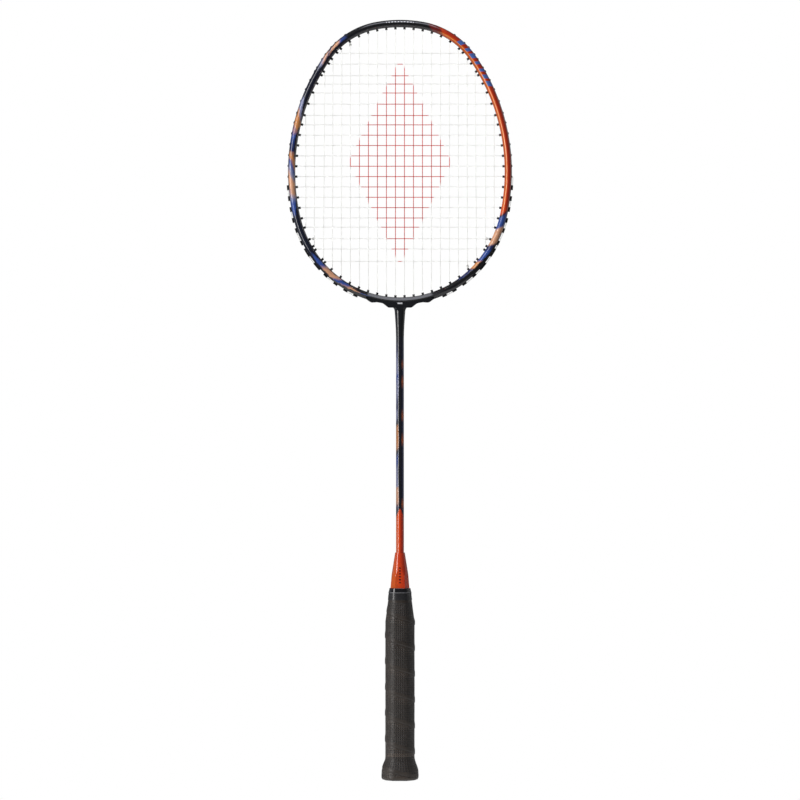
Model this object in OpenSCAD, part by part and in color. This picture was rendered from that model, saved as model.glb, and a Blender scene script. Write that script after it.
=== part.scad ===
// Badminton racket: hollow oval hoop with a ridged section, moulded throat, round shaft, pencil-faced
// cone cap and a wrapped octagonal handle, strung with two separate strings through nylon grommets.
// Origin: centre of the butt end face. +Z runs up the handle and shaft to the head, X lies across the
// head and Y is normal to the string bed. Millimetres.

/* [Hoop outline] */
// Overall length, butt face to the top of the hoop
overall_length = 675; // [670:1:680]
// Radius of the top arc (centreline)
top_r = 119; // [117:0.5:121]
// Radius of each shoulder arc
shoulder_r = 68.2; // [67.5:0.1:69]
// Radius of each long side arc
side_r = 178.5; // [177:0.5:180]
// Radius of each lower side arc
lower_r = 101; // [100:0.5:102]
// Angle at which the top arc meets the shoulder arc
top_end = 80.5; // [79:0.5:82]
// Angle at which the shoulder arc meets the side arc
shoulder_end = 34.7; // [34.5:0.1:35]
// Angle at which the side arc meets the lower side arc
side_end = -12.5; // [-13:0.1:-12]
// Angle at which the lower side arc meets the bottom arc
lower_end = -39.5; // [-40:0.1:-39.3]

/* [Hoop section] */
// Width of the hoop tube seen from the front
band_w = 6.4; // [6.2:0.1:6.8]
// Depth of the hoop tube from front ridge to back ridge, before the ridges are rounded
band_d = 10.4; // [10:0.1:11]
// Height of the flat inner and outer faces
flat_h = 4.4; // [4.2:0.1:4.8]
// Wall of the carbon tube
hoop_wall = 1.0; // [0.9:0.1:1.1]
// Depth of the string groove in the outer face
groove_depth = 1.6; // [1.5:0.1:1.7]
// Width of the string groove
groove_w = 3.2; // [3:0.1:3.4]
// Angle at which the groove of the upper hoop ends
groove_end = -4; // [-6:0.5:-3]
// Angle at which the groove of the throat starts
throat_groove = -69; // [-69.5:0.1:-68.5]

/* [String bed] */
// Number of main strings on each side of the middle
mains_per_side = 11; // [11]
// Spacing of the main strings
main_pitch = 8; // [7.9:0.05:8.1]
// Number of cross strings
cross_count = 21; // [21]
// Height of the first cross string
first_cross_z = 646.2; // [645.5:0.1:647]
// Spacing of the cross strings
cross_pitch = 9.19; // [9.1:0.01:9.25]
// Extra gap before the last cross string
last_cross_gap = 1.8; // [1.4:0.1:2.2]
// String diameter
string_d = 0.7; // [0.66:0.01:0.7]

/* [Grommets] */
// Outer diameter of a grommet barrel
barrel_d = 2.1; // [2.1:0.05:2.3]
// Bore of a grommet barrel
barrel_bore = 1.5; // [1.45:0.05:1.55]
// Length of barrel standing out inside the hoop
barrel_out = 1.9; // [1.5:0.1:2.2]
// Height of a proud flange on the lower hoop
flange_h = 1.5; // [1.4:0.1:1.7]
// Length of a proud flange along the hoop
flange_l = 4.2; // [3.8:0.1:4.6]

/* [Shaft and throat] */
// Outer diameter of the shaft
shaft_d = 7; // [6.8:0.1:7.2]
// Bore of the shaft
shaft_bore = 4.6; // [4.4:0.1:4.8]
// Lower end of the shaft, inside the handle
shaft_z0 = 72; // [60:1:90]
// Upper end of the shaft, inside the throat
shaft_z1 = 413; // [410:0.5:414]
// Height at which the throat runs out on the shaft
neck_z = 394; // [390:1:405]

/* [Handle] */
// Width of the grip across X
grip_w = 26.4; // [25:0.1:26.8]
// Depth of the grip across Y
grip_d = 23.8; // [22.8:0.1:24.2]
// Grip width added by the flared butt
flare_w = 6.8; // [6:0.1:7.4]
// Height at which the flare runs out
flare_z = 21.2; // [19:0.1:22]
// Height at which the grip starts to narrow
taper_z = 141; // [138:1:143]
// Height of the lower edge of the finishing tape
tape_z0 = 160; // [158:0.5:161]
// Height at which the finishing tape turns in towards the cone
turn_z = 167; // [166:0.5:168]
// Height of the top edge of the grip
grip_z1 = 170.5; // [170:0.5:172]
// Grip width lost at the lower edge of the finishing tape
taper_w = 5.4; // [5.2:0.1:5.6]
// Grip width lost where the finishing tape turns in
turn_w = 6.9; // [6.7:0.1:7.1]
// Grip width lost at the top edge
top_w = 8.4; // [8:0.1:8.6]
// Width lost by the foot of the cone cap at the same height
foot_w = 6.6; // [6.4:0.1:6.8]
// Thickness of the wrapped tape
grip_t = 1.5; // [1.3:0.1:1.6]
// Top of the cone cap
cone_z1 = 202; // [200:1:204]
// Diameter of the top of the cone cap
cone_top_d = 8.6; // [8.4:0.1:9]

/* [Hidden] */
hoop_fn = 240;
string_fn = 40;
string_slack = 0.06;

// Hoop outline: five tangent arcs on each side, from the top (90 degrees) to the bottom (-90). Each
// centre lies on the radius where its arc meets the one before, and the last radius closes the oval.
half_w = band_w / 2;
ARC_END = [90, top_end, shoulder_end, side_end, lower_end, -90];
centre_0 = [0, overall_length - half_w - top_r];
centre_1 = centre_0 + (top_r - shoulder_r) * dir(top_end);
centre_2 = centre_1 + (shoulder_r - side_r) * dir(shoulder_end);
centre_3 = centre_2 + (side_r - lower_r) * dir(side_end);
bottom_r = lower_r + centre_3[0] / cos(lower_end);
centre_4 = centre_3 + (lower_r - bottom_r) * dir(lower_end);
ARC_R = [top_r, shoulder_r, side_r, lower_r, bottom_r];
ARC_C = [centre_0, centre_1, centre_2, centre_3, centre_4];
// Stretches of hoop on one side: [arc, start angle, end angle, grooved, slack]. Every second stretch is
// thinner by the slack and laps into its neighbours, so that they join without touching face to face.
slack = 0.02;
lap = 0.1;
STRETCHES = [[1, top_end, shoulder_end, true, slack], [2, shoulder_end, groove_end, true, 0],
             [2, groove_end, side_end, false, slack], [3, side_end, lower_end, false, 0],
             [4, lower_end, throat_groove, false, slack]];
// The top and bottom stretches cross the middle.
MIDDLE_STRETCHES = [[0, 180 - top_end, top_end, true, 0],
                    [4, throat_groove, -180 - throat_groove, true, 0]];

// String levels, as distances outwards from the hoop's centreline.
mouth_off = -half_w - barrel_out;
groove_floor = half_w - groove_depth;
strip_t = 0.5;
hidden_off = groove_floor + strip_t + 0.4;
proud_floor = half_w + 0.5;
proud_off = proud_floor + 0.4;
elbow_r = 0.8;
main_y = 0.36;
cross_y = -0.36;
main_count = mains_per_side - 1;
last_cross = cross_count - 1;
// Main strings that share a grommet with a cross string: [main, cross], at the top and at the bottom.
TOP_SHARED = [[9, 4], [10, 6]];
BOTTOM_SHARED = [[10, 17]];
// Holes drilled off their string's own line, to keep close neighbours apart: [string, degrees].
TOP_DRIFT = [[6, 0.34], [7, 0.65], [8, 0.8]];
CROSS_DRIFT = [[0, -1.1], [1, -0.5], [2, -0.9], [3, -0.2]];

function dir(a) = [cos(a), sin(a)];
function unit(v) = v / norm(v);
function arc_of(a) = a > top_end ? 0 : a > shoulder_end ? 1 : a > side_end ? 2 : a > lower_end ? 3 : 4;
function hoop_point(a, off) = let (k = arc_of(a)) ARC_C[k] + (ARC_R[k] + off) * dir(a);
function is_grooved(a) = a > groove_end || a < throat_groove;
function run_off(a) = is_grooved(a) ? hidden_off : proud_off;

// Angle at which the inner mouth line of the hoop reaches a given x (top or bottom) or a given z.
function angle_at_x(x, up) =
    [for (k = [0:4])
        let (v = (x - ARC_C[k][0]) / (ARC_R[k] + mouth_off), a = up * acos(min(1, max(-1, v))))
        if (abs(v) <= 1 && a <= ARC_END[k] && a > ARC_END[k + 1]) a][0];
function angle_at_z(z) =
    [for (k = [0:4])
        let (v = (z - ARC_C[k][1]) / (ARC_R[k] + mouth_off), a = asin(min(1, max(-1, v))))
        if (abs(v) <= 1 && a <= ARC_END[k] && a > ARC_END[k + 1]) a][0];
function main_x(i) = main_pitch * (i + 0.5);
function cross_z(j) = first_cross_z - cross_pitch * j - (j == last_cross ? last_cross_gap : 0);
function partner(list, item, from, to) = [for (p = list) if (p[from] == item) p[to]];
function drift(list, item) = concat(partner(list, item, 0, 1), [0])[0];
function raw_main(i, up) = angle_at_x(main_x(i), up) + (up > 0 ? drift(TOP_DRIFT, i) : 0);
function raw_cross(j) = angle_at_z(cross_z(j)) + drift(CROSS_DRIFT, j);
// Hole angles: a shared hole lies half-way between the two strings that use it.
function main_hole(i, up) =
    let (p = partner(up > 0 ? TOP_SHARED : BOTTOM_SHARED, i, 0, 1))
    len(p) > 0 ? (raw_main(i, up) + raw_cross(p[0])) / 2 : raw_main(i, up);
function cross_hole(j) =
    let (t = partner(TOP_SHARED, j, 1, 0), b = partner(BOTTOM_SHARED, j, 1, 0))
    len(t) > 0 ? main_hole(t[0], 1) : len(b) > 0 ? main_hole(b[0], -1) : raw_cross(j);
// Every hole on one side, each once.
HOLES = [for (i = [0:main_count]) main_hole(i, 1),
         for (i = [0:main_count]) main_hole(i, -1),
         for (j = [0:last_cross])
             if (len(partner(TOP_SHARED, j, 1, 0)) + len(partner(BOTTOM_SHARED, j, 1, 0)) == 0)
                 cross_hole(j)];

// Outline helpers: a polygon with each corner turned into an arc of its own radius.
function corner_arc(a, b, c, r, n) =
    let (u = unit(a - b), w = unit(c - b), half = acos(u * w) / 2,
         m = b + unit(u + w) * r / sin(half),
         p = b + u * r / tan(half) - m, q = b + w * r / tan(half) - m,
         a0 = atan2(p[1], p[0]), turn = (atan2(q[1], q[0]) - a0 + 900) % 360 - 180)
    [for (k = [0:n]) m + r * dir(a0 + turn * k / n)];
function rounded(pts, radii, n) =
    let (c = len(pts))
    [for (i = [0:c - 1]) each corner_arc(pts[(i + c - 1) % c], pts[i], pts[(i + 1) % c], radii[i], n)];

// A stretch of hoop: the child outline swept about an arc's centre, in the XZ plane.
module sweep(k, a0, a1, off = 0) {
    translate([ARC_C[k][0], 0, ARC_C[k][1]])
        rotate([90, 0, 0])
            rotate_extrude(angle = a0 - a1, start = a1, $fn = hoop_fn)
                translate([ARC_R[k] + off, 0])
                    children();
}

// Places its children at a point of the hoop, with +X pointing outwards along the radius.
module at_hoop(a, off) {
    p = hoop_point(a, off);
    translate([p[0], 0, p[1]])
        rotate([0, -a, 0])
            children();
}

module both_sides() {
    children();
    mirror([1, 0, 0])
        children();
}

// ---- Hoop ----------------------------------------------------------------------------------

module band_outline(less = 0) {
    h = flat_h / 2 - less / 2;
    w = half_w - less;
    d = band_d / 2 - less;
    polygon(rounded([[w, -h], [w, h], [0, d], [-w, h], [-w, -h], [0, -d]],
                    [1.4, 1.4, 0.7, 1.4, 1.4, 0.7], 3));
}

module cavity_outline(more = 0) {
    wall = hoop_wall - more;
    inner = wall - half_w;
    outer = groove_floor - wall;
    slope = (band_d - flat_h) / band_w;
    top = band_d / 2 - wall * sqrt(1 + slope * slope);
    polygon(rounded([[outer, outer * slope - top], [outer, top - outer * slope], [0, top],
                     [inner, top + inner * slope], [inner, -top - inner * slope], [0, -top]],
                    [0.4, 0.4, 0.4, 0.8, 0.8, 0.4], 2));
}

module groove_outline(more = 0) {
    translate([groove_floor - more, -groove_w / 2 - more])
        square([groove_depth + 1, groove_w + 2 * more]);
}

module hoop_stretch(s) {
    over = s[4] > 0 ? lap / ARC_R[s[0]] * 180 / PI : 0;
    sweep(s[0], s[1] + over, s[2] - over)
        difference() {
            band_outline(s[4]);
            cavity_outline(s[4]);
            if (s[3]) groove_outline(s[4]);
        }
}

module hoop_tube() {
    for (s = MIDDLE_STRETCHES)
        hoop_stretch(s);
    for (s = STRETCHES)
        hoop_stretch(s);
    mirror([1, 0, 0])
        for (s = STRETCHES)
            hoop_stretch(s);
}

module head_frame() {
    color("#20202a")
        difference() {
            hoop_tube();
            both_sides()
                for (a = HOLES)
                    at_hoop(a, -half_w - 1)
                        rotate([0, 90, 0])
                            cylinder(d = barrel_d + 0.04, h = band_w + 2, $fn = 24);
            translate([0, 0, centre_4[1] - bottom_r - half_w - 1])
                cylinder(d = shaft_bore, h = half_w + 2, $fn = 48);
        }
}

// ---- Throat --------------------------------------------------------------------------------

bottom_z = centre_4[1] - bottom_r;
hoop_under_z = bottom_z - half_w;
shoulder_z = hoop_under_z - 2.7;

// Front outline of the moulding: two scalloped steps on each side under the hoop.
module throat_outline() {
    step_1 = hoop_under_z + 1.2;
    step_2 = hoop_under_z + 1.7;
    right = [[10.4, shoulder_z], [15.2, step_1], [20.4, step_2 + 0.4], [25.6, step_2],
             [30.8, hoop_under_z + 5.4]];
    left = [for (i = [len(right) - 1:-1:0]) [-right[i][0], right[i][1]]];
    crown = [[14, bottom_z + 7], [-14, bottom_z + 7]];
    polygon(rounded(concat(right, crown, left),
                    [3, 6, 5, 4.5, 0.2, 0.2, 0.2, 0.2, 4.5, 5, 6, 3], 4));
}

// Side outline: deep at the hoop, thinning to the round shaft.
module throat_side() {
    z = [neck_z - 1, shoulder_z - 10, shoulder_z + 1.5, bottom_z + 3];
    y = [shaft_d / 2 + 0.25, 4.25, 4.6, 4.6];
    right = [for (i = [0:3]) [y[i], z[i]]];
    left = [for (i = [3:-1:0]) [-y[i], z[i]]];
    polygon(concat(right, left));
}

// Round neck: it swells slowly up from the shaft and flares into the shoulder.
module neck() {
    foot = shaft_d / 2 + 0.05;
    swell = 1.2;
    flare = 2.4;
    flare_h = 4.2;
    flare_z0 = shoulder_z - 3.4;
    rotate_extrude($fn = 96)
        polygon(concat([[0, neck_z]],
                       [for (t = [0:0.125:1])
                            [foot + swell * pow(t, 1.5), neck_z + (flare_z0 - neck_z) * t]],
                       [for (k = [12:12:60])
                            [foot + swell + flare * (1 - cos(k)) / (1 - cos(60)),
                             flare_z0 + flare_h * sin(k) / sin(60)]],
                       [[0, flare_z0 + flare_h]]));
}

module throat_joint() {
    slot_x0 = 6;
    slot_x1 = 14.4;
    color("#15151a")
        difference() {
            intersection() {
                union() {
                    rotate([90, 0, 0])
                        linear_extrude(12, center = true)
                            throat_outline();
                    neck();
                }
                rotate([90, 0, 90])
                    linear_extrude(70, center = true)
                        throat_side();
            }
            // the hoop, with its ridge left clear
            sweep(4, -60, -120)
                union() {
                    band_outline();
                    translate([-10, -8])
                        square([10.9, 16]);
                }
            // windows over the string runs beside the shaft
            both_sides()
                translate([slot_x0, -groove_w / 2, shoulder_z - 5])
                    cube([slot_x1 - slot_x0, groove_w, 12]);
            // socket for the shaft and passage for the tee
            translate([0, 0, neck_z - 1])
                cylinder(d = shaft_d + 0.04, h = shaft_z1 - neck_z + 1, $fn = 64);
            translate([0, 0, neck_z])
                cylinder(d = shaft_bore, h = 30, $fn = 48);
        }
}

// Aluminium tee: a pin in the shaft's bore with a flat head inside the hoop.
module t_joint() {
    pin_z0 = 384;
    head_z0 = bottom_z - 0.45;
    head = [5.2, 4.8, 1.5];
    color("#9a9ca0")
        union() {
            translate([0, 0, pin_z0])
                cylinder(d = shaft_bore - 0.1, h = head_z0 + 0.8 - pin_z0, $fn = 48);
            translate([-head[0] / 2, -head[1] / 2, head_z0])
                cube(head);
        }
}

// ---- Shaft and handle ------------------------------------------------------------------------

module shaft() {
    color("#1b1b22")
        difference() {
            translate([0, 0, shaft_z0])
                cylinder(d = shaft_d, h = shaft_z1 - shaft_z0, $fn = 96);
            translate([0, 0, shaft_z0 - 1])
                cylinder(d = shaft_bore, h = shaft_z1 - shaft_z0 + 2, $fn = 96);
        }
}

// Rounded butt edge, and the height at which the flare starts to narrow.
edge_r = 3;
edge_z = 7;
// Handle levels up to the finishing tape, as [height, width added on each side]: rounded butt edge,
// flare, straight stretch and taper.
LOWER_LEVELS =
    concat([for (k = [0:3]) [edge_r * (1 - cos(k * 30)), flare_w / 2 - edge_r * (1 - sin(k * 30))]],
           [for (k = [0:8])
                let (t = k / 8)
                [edge_z + (flare_z - edge_z) * t, flare_w / 4 * (1 + cos(180 * t))]],
           [[taper_z, 0], [tape_z0, -taper_w / 2]]);
// Above that the grip turns in at its top edge, while the core's outline runs straight on.
GRIP_LEVELS = concat(LOWER_LEVELS, [[turn_z, -turn_w / 2], [grip_z1, -top_w / 2], [grip_z1 + 2, -top_w / 2]]);
CORE_LEVELS = concat(LOWER_LEVELS, [[grip_z1, -foot_w / 2], [grip_z1 + 2, -foot_w / 2]]);
function across_x(more) = grip_w / 2 + more;
function across_y(more) = grip_d / 2 + more;
function across_diagonal(more) = (grip_w + grip_d) / 4 + 0.5 + more;

// One level of the eight-sided handle, with every face moved outwards by more.
function level_ring(z, more) =
    let (x = across_x(more), y = across_y(more), c = across_diagonal(more) * sqrt(2))
    [[x, c - x, z], [c - y, y, z], [y - c, y, z], [-x, c - x, z],
     [-x, x - c, z], [y - c, -y, z], [c - y, -y, z], [x, x - c, z]];

// Eight-sided body between two heights, inset from the surface that the levels give.
module eight_sided(levels, inset, z0, z1) {
    count = len(levels);
    intersection() {
        polyhedron(
            points = [for (l = levels) each level_ring(l[0], l[1] - inset)],
            faces = concat([[for (k = [0:7]) k]],
                           [for (i = [0:count - 2], k = [0:7])
                                let (n = (k + 1) % 8)
                                [i * 8 + k, (i + 1) * 8 + k, (i + 1) * 8 + n, i * 8 + n]],
                           [[for (k = [7:-1:0]) (count - 1) * 8 + k]]));
        translate([-30, -30, z0])
            cube([60, 60, z1 - z0]);
    }
}

core_z0 = 3.2;
core_z1 = 150;

module handle_core() {
    color("#c9a06a")
        difference() {
            eight_sided(CORE_LEVELS, grip_t, core_z0, core_z1);
            translate([0, 0, shaft_z0])
                cylinder(d = shaft_d + 0.04, h = core_z1, $fn = 96);
        }
}

module butt_plate() {
    color("#101012")
        eight_sided(CORE_LEVELS, grip_t, 0, core_z0);
}

wrap_z0 = 0.8;

module grip_wrap() {
    color("#1c1c1e")
        difference() {
            eight_sided(GRIP_LEVELS, 0, wrap_z0, grip_z1);
            eight_sided(CORE_LEVELS, grip_t, wrap_z0 - 0.5, grip_z1 + 0.5);
        }
}

tape_t = 0.3;

module finishing_tape() {
    color("#0c0c0e")
        difference() {
            eight_sided(GRIP_LEVELS, -tape_t, tape_z0, grip_z1);
            eight_sided(GRIP_LEVELS, 0, tape_z0 - 1, grip_z1 + 0.5);
        }
}

// Cone cap: an eight-sided foot under the tape, sharpened like a pencil by a round cone.
module cone_cap() {
    color("#d8431f")
        difference() {
            intersection() {
                pencil_cone();
                pencil_faces(across_x(-grip_t));
                rotate([0, 0, 90])
                    pencil_faces(across_y(-grip_t));
                rotate([0, 0, 45])
                    pencil_faces(across_diagonal(-grip_t));
                rotate([0, 0, -45])
                    pencil_faces(across_diagonal(-grip_t));
            }
            translate([0, 0, core_z1 - 1])
                cylinder(d = shaft_d + 0.04, h = cone_z1, $fn = 96);
        }
}

// Round cone that sharpens the cap, drawn on down past its foot.
module pencil_cone() {
    grow = 5 / (cone_z1 - grip_z1);
    length = cone_z1 - core_z1;
    translate([0, 0, core_z1])
        cylinder(r1 = cone_top_d / 2 + grow * length, r2 = cone_top_d / 2, h = length, $fn = 96);
}

// One pair of opposite faces, a from the axis below the taper: they follow the core's outline up to
// the grip's top edge and then lean in.
module pencil_faces(a) {
    foot = a - taper_w / 2 * (core_z1 - taper_z) / (tape_z0 - taper_z);
    top_a = 5.7;
    side = [[foot, core_z1], [a - taper_w / 2, tape_z0], [a - foot_w / 2, grip_z1], [top_a, cone_z1 + 1]];
    rotate([90, 0, 0])
        linear_extrude(40, center = true)
            polygon(concat(side, [for (k = [len(side) - 1:-1:0]) [-side[k][0], side[k][1]]]));
}

// ---- Grommets ------------------------------------------------------------------------------

module grommet(a) {
    foot = is_grooved(a) ? groove_floor + strip_t : half_w + flange_h;
    length = foot - mouth_off;
    at_hoop(a, 0)
        difference() {
            union() {
                translate([mouth_off, 0, 0])
                    rotate([0, 90, 0])
                        cylinder(d = barrel_d, h = length - 0.2, $fn = 24);
                if (is_grooved(a))
                    translate([groove_floor, -1.4, -1.7])
                        cube([strip_t, 2.8, 3.4]);
                else
                    translate([half_w, -2, -flange_l / 2])
                        cube([flange_h, 4, flange_l]);
            }
            translate([mouth_off - 1, 0, 0])
                rotate([0, 90, 0])
                    cylinder(d = barrel_bore, h = length + 2, $fn = 24);
            if (!is_grooved(a))
                translate([proud_floor, -0.9, -flange_l])
                    cube([flange_h, 1.8, 2 * flange_l]);
        }
}

// All grommets of one side between two angles.
module grommet_row(from, to) {
    color("#0b0b0c")
        for (a = HOLES)
            if (a <= from && a > to)
                grommet(a);
}

module left_side() {
    mirror([1, 0, 0])
        children();
}

module grommets_top() {
    both_sides() grommet_row(90, 62);
}

module grommets_shoulder_right() {
    grommet_row(62, 30);
}

module grommets_shoulder_left() {
    left_side() grommet_row(62, 30);
}

module grommets_upper_right() {
    grommet_row(30, 3);
}

module grommets_upper_left() {
    left_side() grommet_row(30, 3);
}

module grommets_side_right() {
    grommet_row(3, -22);
}

module grommets_side_left() {
    left_side() grommet_row(3, -22);
}

module grommets_lower_right() {
    grommet_row(-22, throat_groove);
}

module grommets_lower_left() {
    left_side() grommet_row(-22, throat_groove);
}

module grommets_throat() {
    both_sides() grommet_row(throat_groove, -90);
}

// ---- Strings -------------------------------------------------------------------------------
// A string is a chain of straight stretches, bends at the grommet mouths and runs along the hoop. The
// bends have the full diameter; the pieces between them are a hair thinner and lap into the bends.

module rod(a, b) {
    d = b - a;
    from = a - unit(d) * lap / 2;
    translate([from[0], 0, from[1]])
        rotate([0, atan2(d[0], d[1]), 0])
            cylinder(d = string_d - string_slack, h = norm(d) + lap, $fn = string_fn);
}

module bend(c, r, a0, a1, d = string_d) {
    translate([c[0], 0, c[1]])
        rotate([90, 0, 0])
            rotate_extrude(angle = a1 - a0, start = a0, $fn = hoop_fn)
                translate([r, 0])
                    circle(d = d, $fn = string_fn);
}

// A bend at corner b, between the directions of a and c. It takes up corner_reach of each side, and a
// slight turn has a wider radius, so that it is never shorter than short_reach.
short_reach = 0.3;
function corner_reach(turn) = max(elbow_r * tan(turn / 2), short_reach);
function reach(a, b, c) = corner_reach(180 - acos(unit(a - b) * unit(c - b)));
module corner_bend(a, b, c) {
    u = unit(a - b);
    w = unit(c - b);
    half = acos(u * w) / 2;
    r = reach(a, b, c) * tan(half);
    m = b + unit(u + w) * r / sin(half);
    p = b + u * reach(a, b, c) - m;
    q = b + w * reach(a, b, c) - m;
    a0 = atan2(p[1], p[0]);
    turn = (atan2(q[1], q[0]) - a0 + 900) % 360 - 180;
    bend(m, r, turn > 0 ? a0 : a0 + turn, turn > 0 ? a0 + turn : a0);
}

// The stretch of one string between two hole mouths, given as [side, angle] pairs.
function hoop_side(h, off) = let (p = hoop_point(h[1], off)) [h[0] * p[0], p[1]];
module span(h, g) {
    a = hoop_side(h, mouth_off);
    b = hoop_side(g, mouth_off);
    a_out = hoop_side(h, 0);
    b_out = hoop_side(g, 0);
    rod(a + unit(b - a) * reach(a_out, a, b), b + unit(a - b) * reach(b_out, b, a));
    corner_bend(a_out, a, b);
    corner_bend(b_out, b, a);
}

// The stretch inside a grommet: turn is the angle between the string in the bed and the barrel.
module leg(a, turn, off) {
    run_r = ARC_R[arc_of(a)] + off;
    drop = run_r - sqrt(pow(run_r - elbow_r, 2) - elbow_r * elbow_r);
    rod(hoop_point(a, mouth_off + corner_reach(turn)), hoop_point(a, off - drop));
}

// The elbow from a grommet into the run outside, towards the top (1) or the bottom (-1).
function lead(a, off) = asin(elbow_r / (ARC_R[arc_of(a)] + off - elbow_r));
module outside_elbow(a, toward, off) {
    k = arc_of(a);
    t = a + toward * lead(a, off);
    m = ARC_C[k] + (ARC_R[k] + off - elbow_r) * dir(t);
    if (toward > 0) bend(m, elbow_r, a - 90, t);
    else bend(m, elbow_r, t, a + 90);
}

// The run outside the hoop from hole a down to hole b of the same side, with both its legs. Where an
// elbow ends within short_arc of the next arc, that arc is drawn on as far as the elbow.
short_arc = 0.6;
function carried(k, from_k, end, at, off) = end + (at - end) * (ARC_R[from_k] + off) / (ARC_R[k] + off);
module outside_run(a, a_turn, b, b_turn) {
    off = max(run_off(a), run_off(b));
    high = a - lead(a, off);
    low = b + lead(b, off);
    ka = arc_of(a);
    kb = arc_of(b);
    skip_a = ka < kb && high - ARC_END[ka + 1] < short_arc;
    skip_b = ka < kb && ARC_END[kb] - low < short_arc;
    leg(a, a_turn, off);
    leg(b, b_turn, off);
    outside_elbow(a, -1, off);
    outside_elbow(b, 1, off);
    for (k = [ka:kb])
        if (!(k == ka && skip_a) && !(k == kb && skip_b)) {
            from = k == ka ? high : skip_a ? carried(k, ka, ARC_END[k], high, off) : ARC_END[k];
            to = k == kb ? low : skip_b ? carried(k, kb, ARC_END[kb], low, off) : ARC_END[k + 1];
            over = lap / 2 / ARC_R[k] * 180 / PI;
            bend(ARC_C[k], ARC_R[k] + off, to - over, from + over, string_d - string_slack * (1 - k % 2 / 2));
        }
}

// The run over the top between the two middle holes.
module top_run(a) {
    off = run_off(a);
    over = lap / 2 / ARC_R[0] * 180 / PI;
    both_sides() {
        leg(a, 90 - a, off);
        outside_elbow(a, 1, off);
    }
    bend(ARC_C[0], ARC_R[0] + off, a + lead(a, off) - over, 180 - a - lead(a, off) + over,
         string_d - string_slack);
}

// Tie-off just inside a grommet: the end follows its neighbour and turns round it twice.
module tie(a, far, y_neighbour) {
    m = hoop_point(a, mouth_off);
    u = unit(far - m);
    out = hoop_point(a, 0);
    first_turn = 1.9;
    corner_bend(out, m, far);
    rod(m + u * reach(out, m, far), m + u * (first_turn + 0.3));
    for (k = [0, 1])
        translate([m[0] + u[0] * (first_turn + 0.6 * k), y_neighbour, m[1] + u[1] * (first_turn + 0.6 * k)])
            rotate([0, atan2(u[0], u[1]), 0])
                rotate_extrude($fn = string_fn)
                    translate([string_d * 1.04, 0])
                        circle(d = string_d, $fn = string_fn);
}

function top_turn(i) = 90 - main_hole(i, 1);
function bottom_turn(i) = 90 + main_hole(i, -1);
main_tie = 18;
cross_tie_top = 5;
cross_tie_bottom = 7;

module main_strings() {
    tie_hole = cross_hole(main_tie);
    color("#eeeeec")
        translate([0, main_y, 0]) {
            for (side = [-1, 1], i = [0:main_count])
                span([side, main_hole(i, -1)], [side, main_hole(i, 1)]);
            top_run(main_hole(0, 1));
            both_sides() {
                for (i = [1:2:main_count - 1])
                    outside_run(main_hole(i, 1), top_turn(i), main_hole(i + 1, 1), top_turn(i + 1));
                for (i = [0:2:main_count - 2])
                    outside_run(main_hole(i + 1, -1), bottom_turn(i + 1), main_hole(i, -1), bottom_turn(i));
                outside_run(main_hole(main_count, -1), bottom_turn(main_count), tie_hole, abs(tie_hole));
                tie(tie_hole, [0, cross_z(main_tie)], cross_y - main_y);
            }
        }
}

module cross_strings() {
    top_tie = main_hole(cross_tie_top, 1);
    bottom_tie = main_hole(cross_tie_bottom, -1);
    color("#eeeeec")
        translate([0, cross_y, 0]) {
            for (j = [0:last_cross])
                span([-1, cross_hole(j)], [1, cross_hole(j)]);
            for (j = [0:2:last_cross - 2])
                outside_run(cross_hole(j), abs(cross_hole(j)), cross_hole(j + 1), abs(cross_hole(j + 1)));
            outside_run(cross_hole(last_cross), abs(cross_hole(last_cross)),
                        bottom_tie, bottom_turn(cross_tie_bottom));
            tie(bottom_tie, [main_x(cross_tie_bottom), 560], main_y - cross_y);
            left_side() {
                for (j = [1:2:last_cross - 1])
                    outside_run(cross_hole(j), abs(cross_hole(j)), cross_hole(j + 1), abs(cross_hole(j + 1)));
                outside_run(top_tie, top_turn(cross_tie_top), cross_hole(0), abs(cross_hole(0)));
                tie(top_tie, [main_x(cross_tie_top), 540], main_y - cross_y);
            }
        }
}

head_frame();
throat_joint();
t_joint();
shaft();
cone_cap();
handle_core();
butt_plate();
grip_wrap();
finishing_tape();
main_strings();
cross_strings();
grommets_top();
grommets_shoulder_left();
grommets_shoulder_right();
grommets_upper_left();
grommets_upper_right();
grommets_side_left();
grommets_side_right();
grommets_lower_left();
grommets_lower_right();
grommets_throat();
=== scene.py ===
"""Looks of the badminton racket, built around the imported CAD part.

Lengths are millimetres until a mesh is made. +Z runs from the butt to the head, X lies across the head and
the front of the string bed faces -Y.
"""

import itertools
import math

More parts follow.
